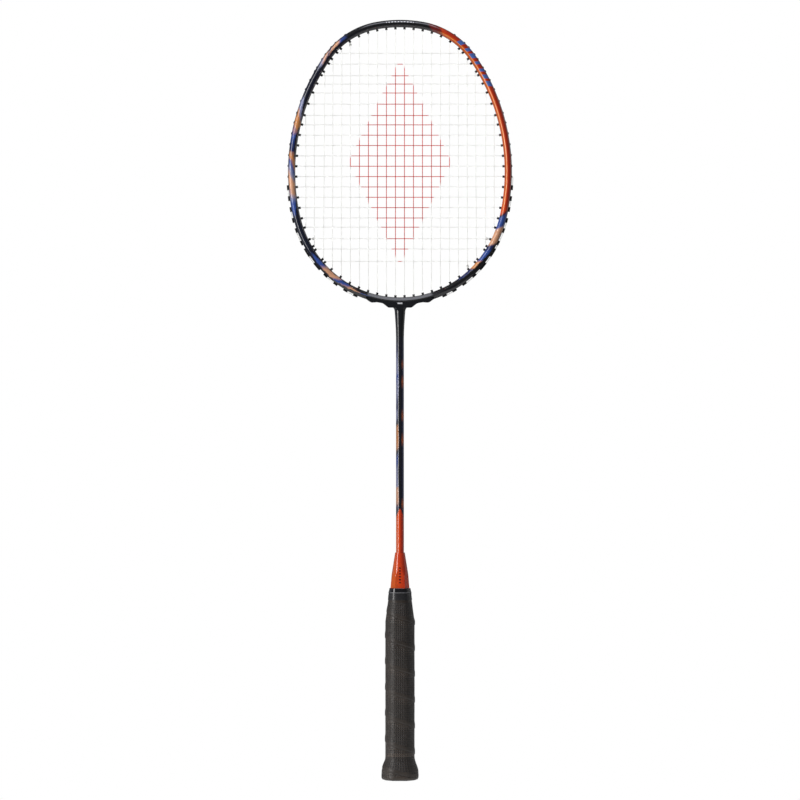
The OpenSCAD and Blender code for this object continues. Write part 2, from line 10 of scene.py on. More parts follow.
import bpy
import numpy as np
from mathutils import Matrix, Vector


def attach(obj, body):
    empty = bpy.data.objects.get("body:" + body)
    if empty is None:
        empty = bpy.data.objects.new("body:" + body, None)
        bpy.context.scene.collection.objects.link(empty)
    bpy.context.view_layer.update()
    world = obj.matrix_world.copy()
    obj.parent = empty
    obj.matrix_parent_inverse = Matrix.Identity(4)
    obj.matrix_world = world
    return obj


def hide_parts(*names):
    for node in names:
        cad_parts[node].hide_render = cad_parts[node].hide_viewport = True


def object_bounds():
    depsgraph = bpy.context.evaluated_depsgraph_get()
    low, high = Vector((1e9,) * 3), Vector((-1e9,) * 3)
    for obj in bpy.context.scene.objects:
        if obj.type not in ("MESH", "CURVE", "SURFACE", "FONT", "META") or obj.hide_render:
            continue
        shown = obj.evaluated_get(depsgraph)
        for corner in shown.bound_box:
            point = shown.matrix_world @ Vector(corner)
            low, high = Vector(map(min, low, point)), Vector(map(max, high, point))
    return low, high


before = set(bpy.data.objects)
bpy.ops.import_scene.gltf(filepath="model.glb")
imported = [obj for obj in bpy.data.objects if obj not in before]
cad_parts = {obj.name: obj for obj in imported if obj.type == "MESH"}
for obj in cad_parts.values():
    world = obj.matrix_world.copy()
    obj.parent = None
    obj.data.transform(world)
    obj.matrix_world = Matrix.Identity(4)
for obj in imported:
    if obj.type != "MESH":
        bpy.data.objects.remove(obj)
CAD_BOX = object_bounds()
LOW, HIGH = CAD_BOX
MM = 0.001

# ---- Hoop outline, as the CAD part has it ----
OVERALL = round((HIGH.z - LOW.z) / MM, 1)
HALF_W = 3.2
# angles at which the arcs of one side meet, from the top to the bottom, and the arcs' radii: the last
# radius follows, because it closes the oval
BREAKS = [90.0, 80.5, 34.7, -12.5, -39.5, -90.0]
RADII = [119.0, 68.2, 178.5, 101.0]
# the string groove runs from the top to the first angle and from the second to the throat
GROOVE_END = -4.0
THROAT_GROOVE = -69.0
GROOVE_DEPTH = 1.6
GROOVE_HALF = 1.59


def direction(angle):
    return np.array([math.cos(math.radians(angle)), math.sin(math.radians(angle))])


CENTRES = [np.array([0.0, OVERALL - HALF_W - RADII[0]])]
for k in range(len(RADII) - 1):
    CENTRES.append(CENTRES[k] + (RADII[k] - RADII[k + 1]) * direction(BREAKS[k + 1]))
RADII.append(RADII[-1] + CENTRES[-1][0] / math.cos(math.radians(BREAKS[-2])))
CENTRES.append(CENTRES[-1] + (RADII[-2] - RADII[-1]) * direction(BREAKS[-2]))
ARCS = range(len(RADII))
RUNS = [0.0]
for k in ARCS:
    RUNS.append(RUNS[k] + RADII[k] * math.radians(BREAKS[k] - BREAKS[k + 1]))
HALF_RUN = RUNS[-1]


def arc_of(angle):
    """Number of the arc that an angle lies on."""
    return next(k for k in ARCS if angle > BREAKS[k + 1] or k == ARCS[-1])


def angle_of(run):
    """Angle of the hoop at a distance along it from the top centre, negative on the left."""
    s = min(abs(run), HALF_RUN)
    k = max(k for k in ARCS if RUNS[k] <= s)
    return BREAKS[k] - math.degrees((s - RUNS[k]) / RADII[k])


def run_of(angle):
    """Distance along the hoop from the top centre to an angle."""
    k = arc_of(angle)
    return RUNS[k] + RADII[k] * math.radians(BREAKS[k] - angle)


def hoop_point(side, angle, off):
    """Point (x, z) at an angle, on one side, offset outwards from the hoop's centre line."""
    k = arc_of(angle)
    x, z = CENTRES[k] + (RADII[k] + off) * direction(angle)
    return np.array([side * x, z])


def is_grooved(angle):
    """Whether the hoop has its string groove at an angle."""
    return angle > GROOVE_END or angle < THROAT_GROOVE


# ---- Mesh helpers ----
def link(name, data):
    """A new object in the scene, with this data."""
    made = bpy.data.objects.new(name, data)
    bpy.context.scene.collection.objects.link(made)
    return made


def grid_object(name, rings, closed=False, corner=None, point=None, sharp=40.0):
    """An object from rings of points (rows, around, 3): closed into a loop, or with both ends capped."""
    rows, around = rings.shape[:2]
    steps = np.arange(rows if closed else rows - 1)[:, None]
    spots = np.arange(around)[None, :]
    after, beside = (steps + 1) % rows, (spots + 1) % around
    quads = np.stack([steps * around + spots, steps * around + beside,
                      after * around + beside, after * around + spots], -1).reshape(-1, 4)
    flat = rings.reshape(-1, 3)
    a, b, c, d = (flat[quads[:, i]] for i in range(4))
    volume = (a * np.cross(b, c)).sum() + (a * np.cross(c, d)).sum()
    order = [0, 1, 2, 3] if volume > 0 else [3, 2, 1, 0]
    faces = quads[:, order].tolist()
    if not closed:
        first, last = list(range(around)), list(range((rows - 1) * around, rows * around))
        faces += [first[::-1], last] if volume > 0 else [first, last[::-1]]
    mesh = bpy.data.meshes.new(name)
    mesh.from_pydata((flat * MM).tolist(), [], faces)
    for label, values in (corner or {}).items():
        data = np.zeros(len(mesh.loops), np.float32)
        data[: quads.size] = values.reshape(-1, 4)[:, order].ravel()
        mesh.attributes.new(label, "FLOAT", "CORNER").data.foreach_set("value", data)
    for label, values in (point or {}).items():
        mesh.attributes.new(label, "FLOAT", "POINT").data.foreach_set(
            "value", values.reshape(-1).astype(np.float32))
    mesh.shade_smooth()
    mesh.set_sharp_from_angle(angle=math.radians(sharp))
    return link(name, mesh)


def corner_values(rows, around, along=None, across=None):
    """Per-corner values for grid_object: along changes from row to row, across goes once round a row."""
    if along is not None:
        before, after = np.repeat(along[:-1, None], around, 1), np.repeat(along[1:, None], around, 1)
        return np.stack([before, before, after, after], -1)
    left = np.repeat(across[None, :-1], rows, 0)
    right = np.repeat(across[None, 1:], rows, 0)
    return np.stack([left, right, right, left], -1)


def rounded(points, radii, n):
    """The arcs of n steps that round each corner of a polygon, as a list of point arrays."""
    arcs = []
    for i, b in enumerate(points):
        a, c = points[i - 1], points[(i + 1) % len(points)]
        u, w = (a - b) / np.linalg.norm(a - b), (c - b) / np.linalg.norm(c - b)
        half = math.acos(float(u @ w)) / 2
        m = b + (u + w) / np.linalg.norm(u + w) * radii[i] / math.sin(half)
        p, q = b + u * radii[i] / math.tan(half) - m, b + w * radii[i] / math.tan(half) - m
        start = math.degrees(math.atan2(p[1], p[0]))
        turn = (math.degrees(math.atan2(q[1], q[0])) - start + 900) % 360 - 180
        arcs.append(np.array([m + radii[i] * direction(start + turn * k / n) for k in range(n + 1)]))
    return arcs


# ---- Hoop ----
FLAT_H = 2.2
EDGE_ROUND = 1.4
RIDGE_TOP = 4.91
# the front and back ridges are rounder in the open than near the throat
RIDGE_R, THROAT_RIDGE_R = 2.7, 0.7
THROAT_RUN = HALF_RUN - 50.0
RIDGE_BLEND = 12.0
GROOVE_FADE = 1.5
HOOP_STEP = 1.2
CORNER_STEPS = 8
# place of the extra points that keep the flat stretches flat, as a share of their length
NEAR_CORNER = 0.07
RIDGE_ROUNDS = 20


def ridge_corner(radius):
    """Height of the ridge's sharp corner that leaves its top at RIDGE_TOP once rounded."""
    y = RIDGE_TOP
    for _ in range(RIDGE_ROUNDS):
        slope = math.atan2(y - FLAT_H, HALF_W)
        y = RIDGE_TOP + radius * (1 / math.cos(slope) - 1)
    return y


def hoop_section(depth, ridge_r=RIDGE_R):
    """Section of the hoop as (outward, y), with a string groove of that depth in its outer face."""
    ridge = ridge_corner(ridge_r)
    corners = np.array([[HALF_W, -FLAT_H], [HALF_W, FLAT_H], [0, ridge],
                        [-HALF_W, FLAT_H], [-HALF_W, -FLAT_H], [0, -ridge]])
    arcs = rounded(corners, [EDGE_ROUND, EDGE_ROUND, ridge_r] * 2, CORNER_STEPS)
    points = []
    for i, arc in enumerate(arcs):
        points.extend(arc)
        ahead = arcs[(i + 1) % len(arcs)][0]
        if i == 0:
            floor = HALF_W - depth
            points += [[floor, -GROOVE_HALF], [floor, 0], [floor, GROOVE_HALF]]
        else:
            points += [arc[-1] + (ahead - arc[-1]) * t for t in (NEAR_CORNER, 0.5, 1 - NEAR_CORNER)]
    return np.array(points)


def groove_share(run):
    """One where the string groove is full, zero where the hoop has none."""
    before_end = (run_of(GROOVE_END) - abs(run)) / GROOVE_FADE + 0.5
    past_start = (abs(run) - run_of(THROAT_GROOVE)) / GROOVE_FADE + 0.5
    return float(np.clip(max(before_end, past_start), 0, 1))


def make_hoop():
    """The carbon hoop, a closed loop of sections with the values run and side for its paint."""
    count = int(2 * HALF_RUN / HOOP_STEP)
    runs = np.linspace(-HALF_RUN, HALF_RUN, count + 1)
    around = len(hoop_section(0))
    rings = np.zeros((count, around, 3))
    for i, run in enumerate(runs[:-1]):
        angle = angle_of(run)
        side = 1 if run >= 0 else -1
        near_throat = float(np.clip((abs(run) - THROAT_RUN) / RIDGE_BLEND, 0, 1))
        ridge_r = RIDGE_R + (THROAT_RIDGE_R - RIDGE_R) * near_throat
        section = hoop_section(GROOVE_DEPTH * groove_share(run), ridge_r)
        k = arc_of(angle)
        out = direction(angle)
        middle = CENTRES[k] + RADII[k] * out
        rings[i, :, 0] = side * (middle[0] + section[:, 0] * out[0])
        rings[i, :, 1] = section[:, 1]
        rings[i, :, 2] = middle[1] + section[:, 0] * out[1]
    section = hoop_section(0)
    side_values = np.repeat((section[:, 0] / HALF_W)[None], count, 0)
    return grid_object("hoop", rings, closed=True,
                       corner={"run": corner_values(count, around, along=runs)},
                       point={"side": side_values})


# ---- Strings ----
STRING_R = 0.35
STRING_SIDES = 10
# how far a string's centre swings to the front and back of the bed's middle
WEAVE = 0.36
# mains on each side of the middle, counted outwards, and crosses, counted from the top
MAIN_COUNT = 11
MAIN_PITCH = 8.0
CROSS_COUNT = 21
CROSS_PITCH = 9.19
FIRST_CROSS_Z = 646.2
LAST_CROSS_GAP = 1.8
# offsets from the hoop's centre line: a grommet's inner end, and a string's pass outside the hoop,
# in the groove or over the proud flanges
MOUTH = -HALF_W - 1.9
HIDDEN_OFF = 2.5
PROUD_OFF = 4.1
PASS_STEP = 2.2
ELBOW = 0.8
# a main and the cross that leaves by the same hole, at the top and at the bottom
TOP_SHARED = {9: 4, 10: 6}
BOTTOM_SHARED = {10: 17}
# degrees by which the hole of a main or of a cross lies beside its string's line
TOP_DRIFT = {6: 0.34, 7: 0.65, 8: 0.8}
CROSS_DRIFT = {0: -1.1, 1: -0.5, 2: -0.9, 3: -0.2}
# the mains are tied off at a cross's hole, the crosses at two mains' holes
MAIN_TIE, CROSS_TIE_TOP, CROSS_TIE_BOTTOM = 18, 5, 7
# heights that the leads of the crosses' two knots point at
TOP_KNOT_AIM, BOTTOM_KNOT_AIM = 540.0, 560.0
KNOT_LEAD = 0.9
KNOT_START = 1.2
KNOT_PITCH = 0.74
KNOT_TURNS = 2.5
KNOT_STEPS = 16
# strings cross only this far inside the hoop's grommets, in millimetres and as a share of the string
CROSSING_GAP = 0.4
CROSSING_SHARE = 0.003
BED_STEPS = (0.25, 0.5, 0.75, 1.0)
NEARLY_ONE = 0.9999


def main_x(i):
    return MAIN_PITCH * (i + 0.5)


def cross_z(j):
    return FIRST_CROSS_Z - CROSS_PITCH * j - (LAST_CROSS_GAP if j == CROSS_COUNT - 1 else 0)


def angle_at(axis, value, up=1):
    """Angle at which the line of the grommet mouths reaches an x (axis 0) or a z (axis 1)."""
    for k in ARCS:
        v = (value - CENTRES[k][axis]) / (RADII[k] + MOUTH)
        if abs(v) <= 1:
            a = up * math.degrees(math.acos(v)) if axis == 0 else math.degrees(math.asin(v))
            if BREAKS[k + 1] < a <= BREAKS[k]:
                return a


def cross_line(j):
    """Angle of the hole that a cross would have to itself."""
    return angle_at(1, cross_z(j)) + CROSS_DRIFT.get(j, 0)


def main_hole(i, up):
    """Angle of a main's hole, at the top where up is 1 and at the bottom where it is -1."""
    shared = TOP_SHARED if up > 0 else BOTTOM_SHARED
    own = angle_at(0, main_x(i), up) + (TOP_DRIFT.get(i, 0) if up > 0 else 0)
    return (own + cross_line(shared[i])) / 2 if i in shared else own


def cross_hole(j):
    """Angle of a cross's hole, which may be a main's too."""
    for shared, up in ((TOP_SHARED, 1), (BOTTOM_SHARED, -1)):
        for i, partner in shared.items():
            if partner == j:
                return main_hole(i, up)
    return cross_line(j)


def lift(p, y):
    """The point (x, z) with a y between them."""
    return np.array([p[0], y, p[1]])


def outside(side, a, b, y, other=None):
    """Stations from the mouth of hole a to the mouth of hole b, along the outside of the hoop.

    A station is a point and the radius that rounds it, zero where the path is smooth there.
    """
    other = side if other is None else other
    off = max(HIDDEN_OFF if is_grooved(h) else PROUD_OFF for h in (a, b))
    points = [(lift(hoop_point(side, a, MOUTH), y), ELBOW), (lift(hoop_point(side, a, off), y), ELBOW)]
    start, end = side * run_of(a), other * run_of(b)
    steps = max(2, int(abs(end - start) / PASS_STEP))
    for t in np.linspace(0, 1, steps + 1)[1:-1]:
        run = start + (end - start) * t
        points.append((lift(hoop_point(1 if run >= 0 else -1, angle_of(run), off), y), 0))
    points += [(lift(hoop_point(other, b, off), y), ELBOW), (lift(hoop_point(other, b, MOUTH), y), ELBOW)]
    return points


def bed(a, b, knots, y_end):
    """Stations between two mouths: knots are (share of the way, y) where the other strings cross."""
    knots = [(0.0, y_end)] + sorted(knots) + [(1.0, y_end)]
    points = []
    for (t0, y0), (t1, y1) in zip(knots, knots[1:]):
        for f in BED_STEPS:
            share = t0 + (t1 - t0) * f
            if share < NEARLY_ONE:
                level = y0 + (y1 - y0) * (1 - math.cos(math.pi * f)) / 2
                points.append((lift(a + (b - a) * share, level), 0))
    return points


def over(m, j):
    """1 where main m, counted from left to right, passes behind cross j, and -1 where in front."""
    return 1 if (m + j) % 2 == 0 else -1


def crosses_inside(t):
    return CROSSING_SHARE < t < 1 - CROSSING_SHARE


def main_bed(side, i, down):
    """Stations of one main across the bed."""
    top, bottom = (hoop_point(side, main_hole(i, up), MOUTH) for up in (1, -1))
    m = i if side > 0 else -1 - i
    knots = []
    for j in range(CROSS_COUNT):
        t = (top[1] - cross_z(j)) / (top[1] - bottom[1])
        x = abs(top[0] + (bottom[0] - top[0]) * t)
        if crosses_inside(t) and x < hoop_point(1, cross_hole(j), MOUTH)[0] - CROSSING_GAP:
            knots.append((t, WEAVE * over(m, j)))
    if down:
        return bed(top, bottom, knots, WEAVE)
    return bed(bottom, top, [(1 - t, y) for t, y in knots], WEAVE)


def cross_bed(j, rightwards):
    """Stations of one cross across the bed."""
    left, right = (hoop_point(side, cross_hole(j), MOUTH) for side in (-1, 1))
    knots = []
    for m in range(-MAIN_COUNT, MAIN_COUNT):
        i = m if m >= 0 else -1 - m
        top, bottom = (hoop_point(1, main_hole(i, up), MOUTH) for up in (1, -1))
        t = (main_x(m) - left[0]) / (right[0] - left[0])
        if crosses_inside(t) and bottom[1] + CROSSING_GAP < cross_z(j) < top[1] - CROSSING_GAP:
            knots.append((t, -WEAVE * over(m, j)))
    if rightwards:
        return bed(left, right, knots, -WEAVE)
    return bed(right, left, [(1 - t, y) for t, y in knots], -WEAVE)


def tie_off(side, hole, far, y_own, y_neighbour):
    """Stations from a grommet's mouth: a lead beside the neighbouring string, then turns round it."""
    m = hoop_point(side, hole, MOUTH)
    u = (far - m) / np.linalg.norm(far - m)
    across = lift(np.array([-u[1], u[0]]), 0)
    points = [(lift(m + u * KNOT_LEAD, y_own), 0)]
    radius = abs(y_own - y_neighbour)
    start = 0 if y_own > y_neighbour else math.pi
    for k in range(int(KNOT_TURNS * KNOT_STEPS) + 1):
        turn = 2 * math.pi * k / KNOT_STEPS
        centre = lift(m + u * (KNOT_START + KNOT_PITCH * k / KNOT_STEPS), y_neighbour)
        swing = np.array([0, math.cos(start + turn), 0]) + across * math.sin(start + turn)
        points.append((centre + swing * radius, 0))
    return points


SHORTEST_REACH = 0.2
REACH_SHARE = 0.45
SHARP_TURN = 0.35
SHORTEST_STEP = 0.02
ELBOW_POINTS, SLIGHT_POINTS = 5, 2


def smooth_path(stations):
    """Points of the path along some stations, with the marked corners rounded."""
    points = []
    for i, (p, radius) in enumerate(stations):
        if not radius or i in (0, len(stations) - 1):
            points.append(p)
            continue
        before, after = stations[i - 1][0] - p, stations[i + 1][0] - p
        la, lb = np.linalg.norm(before), np.linalg.norm(after)
        turn = math.pi - math.acos(float(np.clip(before @ after / la / lb, -1, 1)))
        reach = min(max(radius * math.tan(turn / 2), SHORTEST_REACH), REACH_SHARE * la, REACH_SHARE * lb)
        u, w = before / la * reach, after / lb * reach
        for t in np.linspace(0, 1, ELBOW_POINTS if turn >= SHARP_TURN else SLIGHT_POINTS):
            points.append(p + u * (1 - t) ** 2 + w * t ** 2)
    return np.array(points)


def make_string(name, stations):
    """A round string swept along its stations, with the values along and around for its twist."""
    path = smooth_path(stations)
    keep = np.r_[True, np.linalg.norm(np.diff(path, axis=0), axis=1) > SHORTEST_STEP]
    path = path[keep]
    tangent = np.gradient(path, axis=0)
    tangent /= np.linalg.norm(tangent, axis=1)[:, None]
    normal = np.array([0.0, 1.0, 0.0])
    normals = np.zeros_like(path)
    for i, t in enumerate(tangent):
        normal = normal - t * (normal @ t)
        normal /= np.linalg.norm(normal)
        normals[i] = normal
    binormals = np.cross(tangent, normals)
    turn = np.linspace(0, 2 * math.pi, STRING_SIDES + 1)
    ring = (normals[:, None] * np.cos(turn[:-1])[None, :, None]
            + binormals[:, None] * np.sin(turn[:-1])[None, :, None])
    length = np.r_[0, np.cumsum(np.linalg.norm(np.diff(path, axis=0), axis=1))]
    rows = len(path)
    return grid_object(name, path[:, None] + STRING_R * ring, sharp=60.0,
                       corner={"along": corner_values(rows, STRING_SIDES, along=length),
                               "around": corner_values(rows - 1, STRING_SIDES, across=turn)})


def main_stations():
    """The mains' string, from its knot on the left over the middle mains to its knot on the right."""
    tie_hole = cross_hole(MAIN_TIE)
    halves = []
    for side in (-1, 1):
        stations = []
        for i in range(MAIN_COUNT):
            down = i % 2 == 0
            stations += main_bed(side, i, down)
            if i < MAIN_COUNT - 1:
                up = -1 if down else 1
                stations += outside(side, main_hole(i, up), main_hole(i + 1, up), WEAVE)
        stations += outside(side, main_hole(MAIN_COUNT - 1, -1), tie_hole, WEAVE)
        stations += tie_off(side, tie_hole, np.array([0.0, cross_z(MAIN_TIE)]), WEAVE, -WEAVE)
        halves.append(stations)
    middle = outside(-1, main_hole(0, 1), main_hole(0, 1), WEAVE, other=1)
    return halves[0][::-1] + middle + halves[1]


def cross_stations():
    """The crosses' string, from its knot at the top left to its knot at the bottom right."""
    top_tie, bottom_tie = main_hole(CROSS_TIE_TOP, 1), main_hole(CROSS_TIE_BOTTOM, -1)
    start_aim = np.array([-main_x(CROSS_TIE_TOP), TOP_KNOT_AIM])
    start = tie_off(-1, top_tie, start_aim, -WEAVE, WEAVE)
    stations = start[::-1] + outside(-1, top_tie, cross_hole(0), -WEAVE)
    for j in range(CROSS_COUNT):
        rightwards = j % 2 == 0
        stations += cross_bed(j, rightwards)
        if j < CROSS_COUNT - 1:
            side = 1 if rightwards else -1
            stations += outside(side, cross_hole(j), cross_hole(j + 1), -WEAVE)
    stations += outside(1, cross_hole(CROSS_COUNT - 1), bottom_tie, -WEAVE)
    end_aim = np.array([main_x(CROSS_TIE_BOTTOM), BOTTOM_KNOT_AIM])
    return stations + tie_off(1, bottom_tie, end_aim, -WEAVE, WEAVE)


# ---- Lips of the grommet strip ----
# the strip has lips from GROOVE_END up to this angle, and none round the top of the hoop
STRIP_TOP = 62.0
LIP_HALF_RUN = 1.7
# offsets from the hoop's centre line of a lip's foot and crest, and distances from its middle plane
LIP_INNER, LIP_CREST = 1.7, 3.75
LIP_NEAR, LIP_FAR = 0.85, 1.5
LIP_STEPS = 8
# below 1, so that a lip ends in a small face
LIP_BLUNT = 0.97


def make_strip_lips():
    """A pair of lips at each hole between the two angles, swelling out of the groove."""
    holes = [main_hole(i, 1) for i in range(MAIN_COUNT)] + [cross_hole(j) for j in range(CROSS_COUNT)]
    points, faces = [], []
    for side, hole, face in itertools.product((-1, 1), sorted(set(holes)), (-1, 1)):
        if not GROOVE_END < hole < STRIP_TOP:
            continue
        first = len(points)
        for t in np.linspace(-1, 1, LIP_STEPS + 1):
            angle = angle_of(run_of(hole) + LIP_HALF_RUN * t)
            crest = LIP_INNER + (LIP_CREST - LIP_INNER) * math.sqrt(1 - (LIP_BLUNT * t) ** 2)
            corners = ((LIP_INNER, LIP_NEAR), (crest, LIP_NEAR), (crest, LIP_FAR), (LIP_INNER, LIP_FAR))
            points += [lift(hoop_point(side, angle, off), face * y) * MM for off, y in corners]
        turned = side != face
        for row in range(LIP_STEPS):
            a = first + 4 * row
            for k in range(4):
                quad = [a + k, a + (k + 1) % 4, a + 4 + (k + 1) % 4, a + 4 + k]
                faces.append(quad if turned else quad[::-1])
        ends = [first, first + 1, first + 2, first + 3], [first + 4 * LIP_STEPS + k for k in (3, 2, 1, 0)]
        faces += [end[::-1] if turned else end for end in ends]
    mesh = bpy.data.meshes.new("grommet_strip_lips")
    mesh.from_pydata(points, [], faces)
    mesh.shade_smooth()
    mesh.set_sharp_from_angle(angle=math.radians(40.0))
    return link("grommet_strip_lips", mesh)


# ---- Grip, as the CAD part has it ----
GRIP_HALF_X, GRIP_HALF_Y = 13.2, 11.9
GRIP_DIAGONAL = (2 * GRIP_HALF_X + 2 * GRIP_HALF_Y) / 4 + 0.5
FLARE = 3.4
# the butt's rounded rim, the top of its straight rim and the height at which the flare runs out
EDGE_R, EDGE_Z, FLARE_Z = 3.0, 7.0, 21.2
GRIP_Z0, GRIP_Z1 = 0.8, 170.5
# heights, and how far the faces stand outside the straight stretch there
UPPER_LEVELS = [(141.0, 0.0), (160.0, -2.7), (167.0, -3.45), (GRIP_Z1, -4.2)]
CORE_TOP = -3.3
GRIP_T = 1.5
TAPE_Z0, TAPE_RING_Z, TAPE_T = 160.0, 167.0, 0.3
# sharpness of the octagon's soft corners
CORNER_POWER = 11
GRIP_SIDES = 144
GRIP_ROW = 0.4

# ---- Spiral wrap: heights across the tape's width, measured from its lapped edge ----
WRAP_PITCH = 23.0
WRAP_STEP = 0.38
WRAP_SINK = 0.35
LAP_RISE, LAP_WIDTH, LAP_FALL = 0.5, 3.2, 3.4
SEAM_DEPTH, SEAM_PLACE, SEAM_WIDTH = 0.12, 0.5, 0.7
CALM_Z0, CALM_RISE, CALM_Z1, CALM_FALL = 2.5, 4.0, 151.0, 7.0
WANDER = 0.05

# ---- Finishing tape ----
TAPE_LAP, TAPE_LAP_FROM, TAPE_LAP_TO, TAPE_LAP_EDGE = 0.1, 3.6, 5.4, 0.05
TAPE_RIM, TAPE_EDGE, TAPE_SINK = 0.22, 0.15, 0.1
# distances from its bottom or top at which a bevelled edge ends and the even rows begin
LOW_EDGE, LOW_ROW, TOP_ROW, TOP_EDGE = 0.15, 0.6, 0.3, 0.12
RIM_BELOW, RIM_RISE, RIM_FALL, WAVE_FADE = 1.2, 0.8, 0.3, 0.4


def handle_swell(z):
    """How far the handle's faces stand outside its straight stretch at height z."""
    if z < EDGE_R:
        return FLARE - EDGE_R + math.sqrt(max(EDGE_R ** 2 - (EDGE_R - z) ** 2, 0))
    if z < EDGE_Z:
        return FLARE
    if z < FLARE_Z:
        return FLARE / 2 * (1 + math.cos(math.pi * (z - EDGE_Z) / (FLARE_Z - EDGE_Z)))
    return float(np.interp(z, *zip(*UPPER_LEVELS)))


def octagon(angles, swell):
    """Radius of the soft-cornered octagon at each angle."""
    total = np.zeros_like(angles)
    for face in range(8):
        distance = (GRIP_HALF_X, GRIP_DIAGONAL, GRIP_HALF_Y, GRIP_DIAGONAL)[face % 4] + swell
        lean = np.cos(angles - math.radians(45 * face))
        total += (np.maximum(lean, 0) / distance) ** CORNER_POWER
    return total ** (-1 / CORNER_POWER)


def ease(t):
    """A smooth step from 0 to 1."""
    t = np.clip(t, 0, 1)
    return t * t * (3 - 2 * t)


def level_ring(angles, radius, z):
    """Points of one level ring, with a radius for each angle."""
    return np.stack([radius * np.cos(angles), radius * np.sin(angles), np.full(len(angles), z)], -1)


def wrap_relief(angles, z):
    """How far the wound tape stands out: a lap, a seam beside it and a slight unevenness."""
    phase = (z / WRAP_PITCH + angles / (2 * math.pi)) % 1.0 * WRAP_PITCH
    raised = ease(phase / LAP_RISE) * (1 - ease((phase - LAP_WIDTH) / LAP_FALL))
    seam = -SEAM_DEPTH * np.exp(-((phase - WRAP_PITCH + SEAM_PLACE) / SEAM_WIDTH) ** 2)
    wander = WANDER * np.sin(3 * angles + z * 0.21) * np.sin(z * 0.13)
    calm = float(ease((z - CALM_Z0) / CALM_RISE) * (1 - ease((z - CALM_Z1) / CALM_FALL)))
    return calm * (WRAP_STEP * (raised - WRAP_SINK) + seam + wander)


def make_grip():
    """The wound grip tape as a closed sleeve, with the values turn and height for its material."""
    full_turn = np.linspace(0, 2 * math.pi, GRIP_SIDES + 1)
    angles = full_turn[:-1]
    rim = np.linspace(GRIP_Z0, EDGE_R, 8)
    rings = [level_ring(angles, octagon(angles, handle_swell(z)) + wrap_relief(angles, z), z)
             for z in np.r_[rim, np.arange(EDGE_R + GRIP_ROW, GRIP_Z1 - GRIP_ROW / 2, GRIP_ROW), GRIP_Z1]]
    for z in (GRIP_Z1, TAPE_Z0, UPPER_LEVELS[0][0], FLARE_Z, (FLARE_Z + EDGE_Z) / 2, EDGE_Z, GRIP_Z0):
        swell = CORE_TOP if z == GRIP_Z1 else handle_swell(max(z, EDGE_R))
        rings.append(level_ring(angles, octagon(angles, swell - GRIP_T), z))
    rings = np.array(rings)
    turns = corner_values(len(rings), GRIP_SIDES, across=full_turn / (2 * math.pi))
    return grid_object("grip", rings, closed=True, sharp=50.0, corner={"turn": turns},
                       point={"height": rings[:, :, 2]})


def make_tape():
    """Glossy tape round the grip's top, with one lapped end and a raised rim below its upper ring."""
    angles = np.linspace(0, 2 * math.pi, GRIP_SIDES + 1)[:-1]
    lap = TAPE_LAP * ease((angles - TAPE_LAP_FROM) / TAPE_LAP_EDGE)
    lap = lap * (1 - ease((angles - TAPE_LAP_TO) / TAPE_LAP_EDGE))
    levels = np.r_[TAPE_Z0, TAPE_Z0 + LOW_EDGE, np.arange(TAPE_Z0 + LOW_ROW, GRIP_Z1 - TOP_ROW, GRIP_ROW),
                   GRIP_Z1 - TOP_EDGE, GRIP_Z1]
    rings = []
    for z in levels:
        past_ring = z - TAPE_RING_Z
        rim = TAPE_RIM * float(ease((past_ring + RIM_BELOW) / RIM_RISE) * (1 - ease(past_ring / RIM_FALL)))
        edge = TAPE_EDGE if z in (TAPE_Z0, GRIP_Z1) else 0.0
        wave = WANDER * np.sin(5 * angles + z * 1.3) * (1 - ease(past_ring / WAVE_FADE))
        radius = octagon(angles, handle_swell(z)) + TAPE_T + lap + rim + wave - edge
        rings.append(level_ring(angles, radius, z))
    for z in (GRIP_Z1, TAPE_Z0):
        rings.append(level_ring(angles, octagon(angles, handle_swell(z)) - TAPE_SINK, z))
    return grid_object("finishing_tape_wrap", np.array(rings), closed=True, sharp=50.0)


# ---- Materials ----
def srgb(code):
    """Linear colour with alpha from a six-digit hex code."""
    parts = [int(code[i:i + 2], 16) / 255 for i in (0, 2, 4)]
    return tuple(c / 12.92 if c <= 0.04045 else ((c + 0.055) / 1.055) ** 2.4 for c in parts) + (1.0,)


def grey(value):
    return (value, value, value, 1.0)


ZONES_PER_RAMP = 12


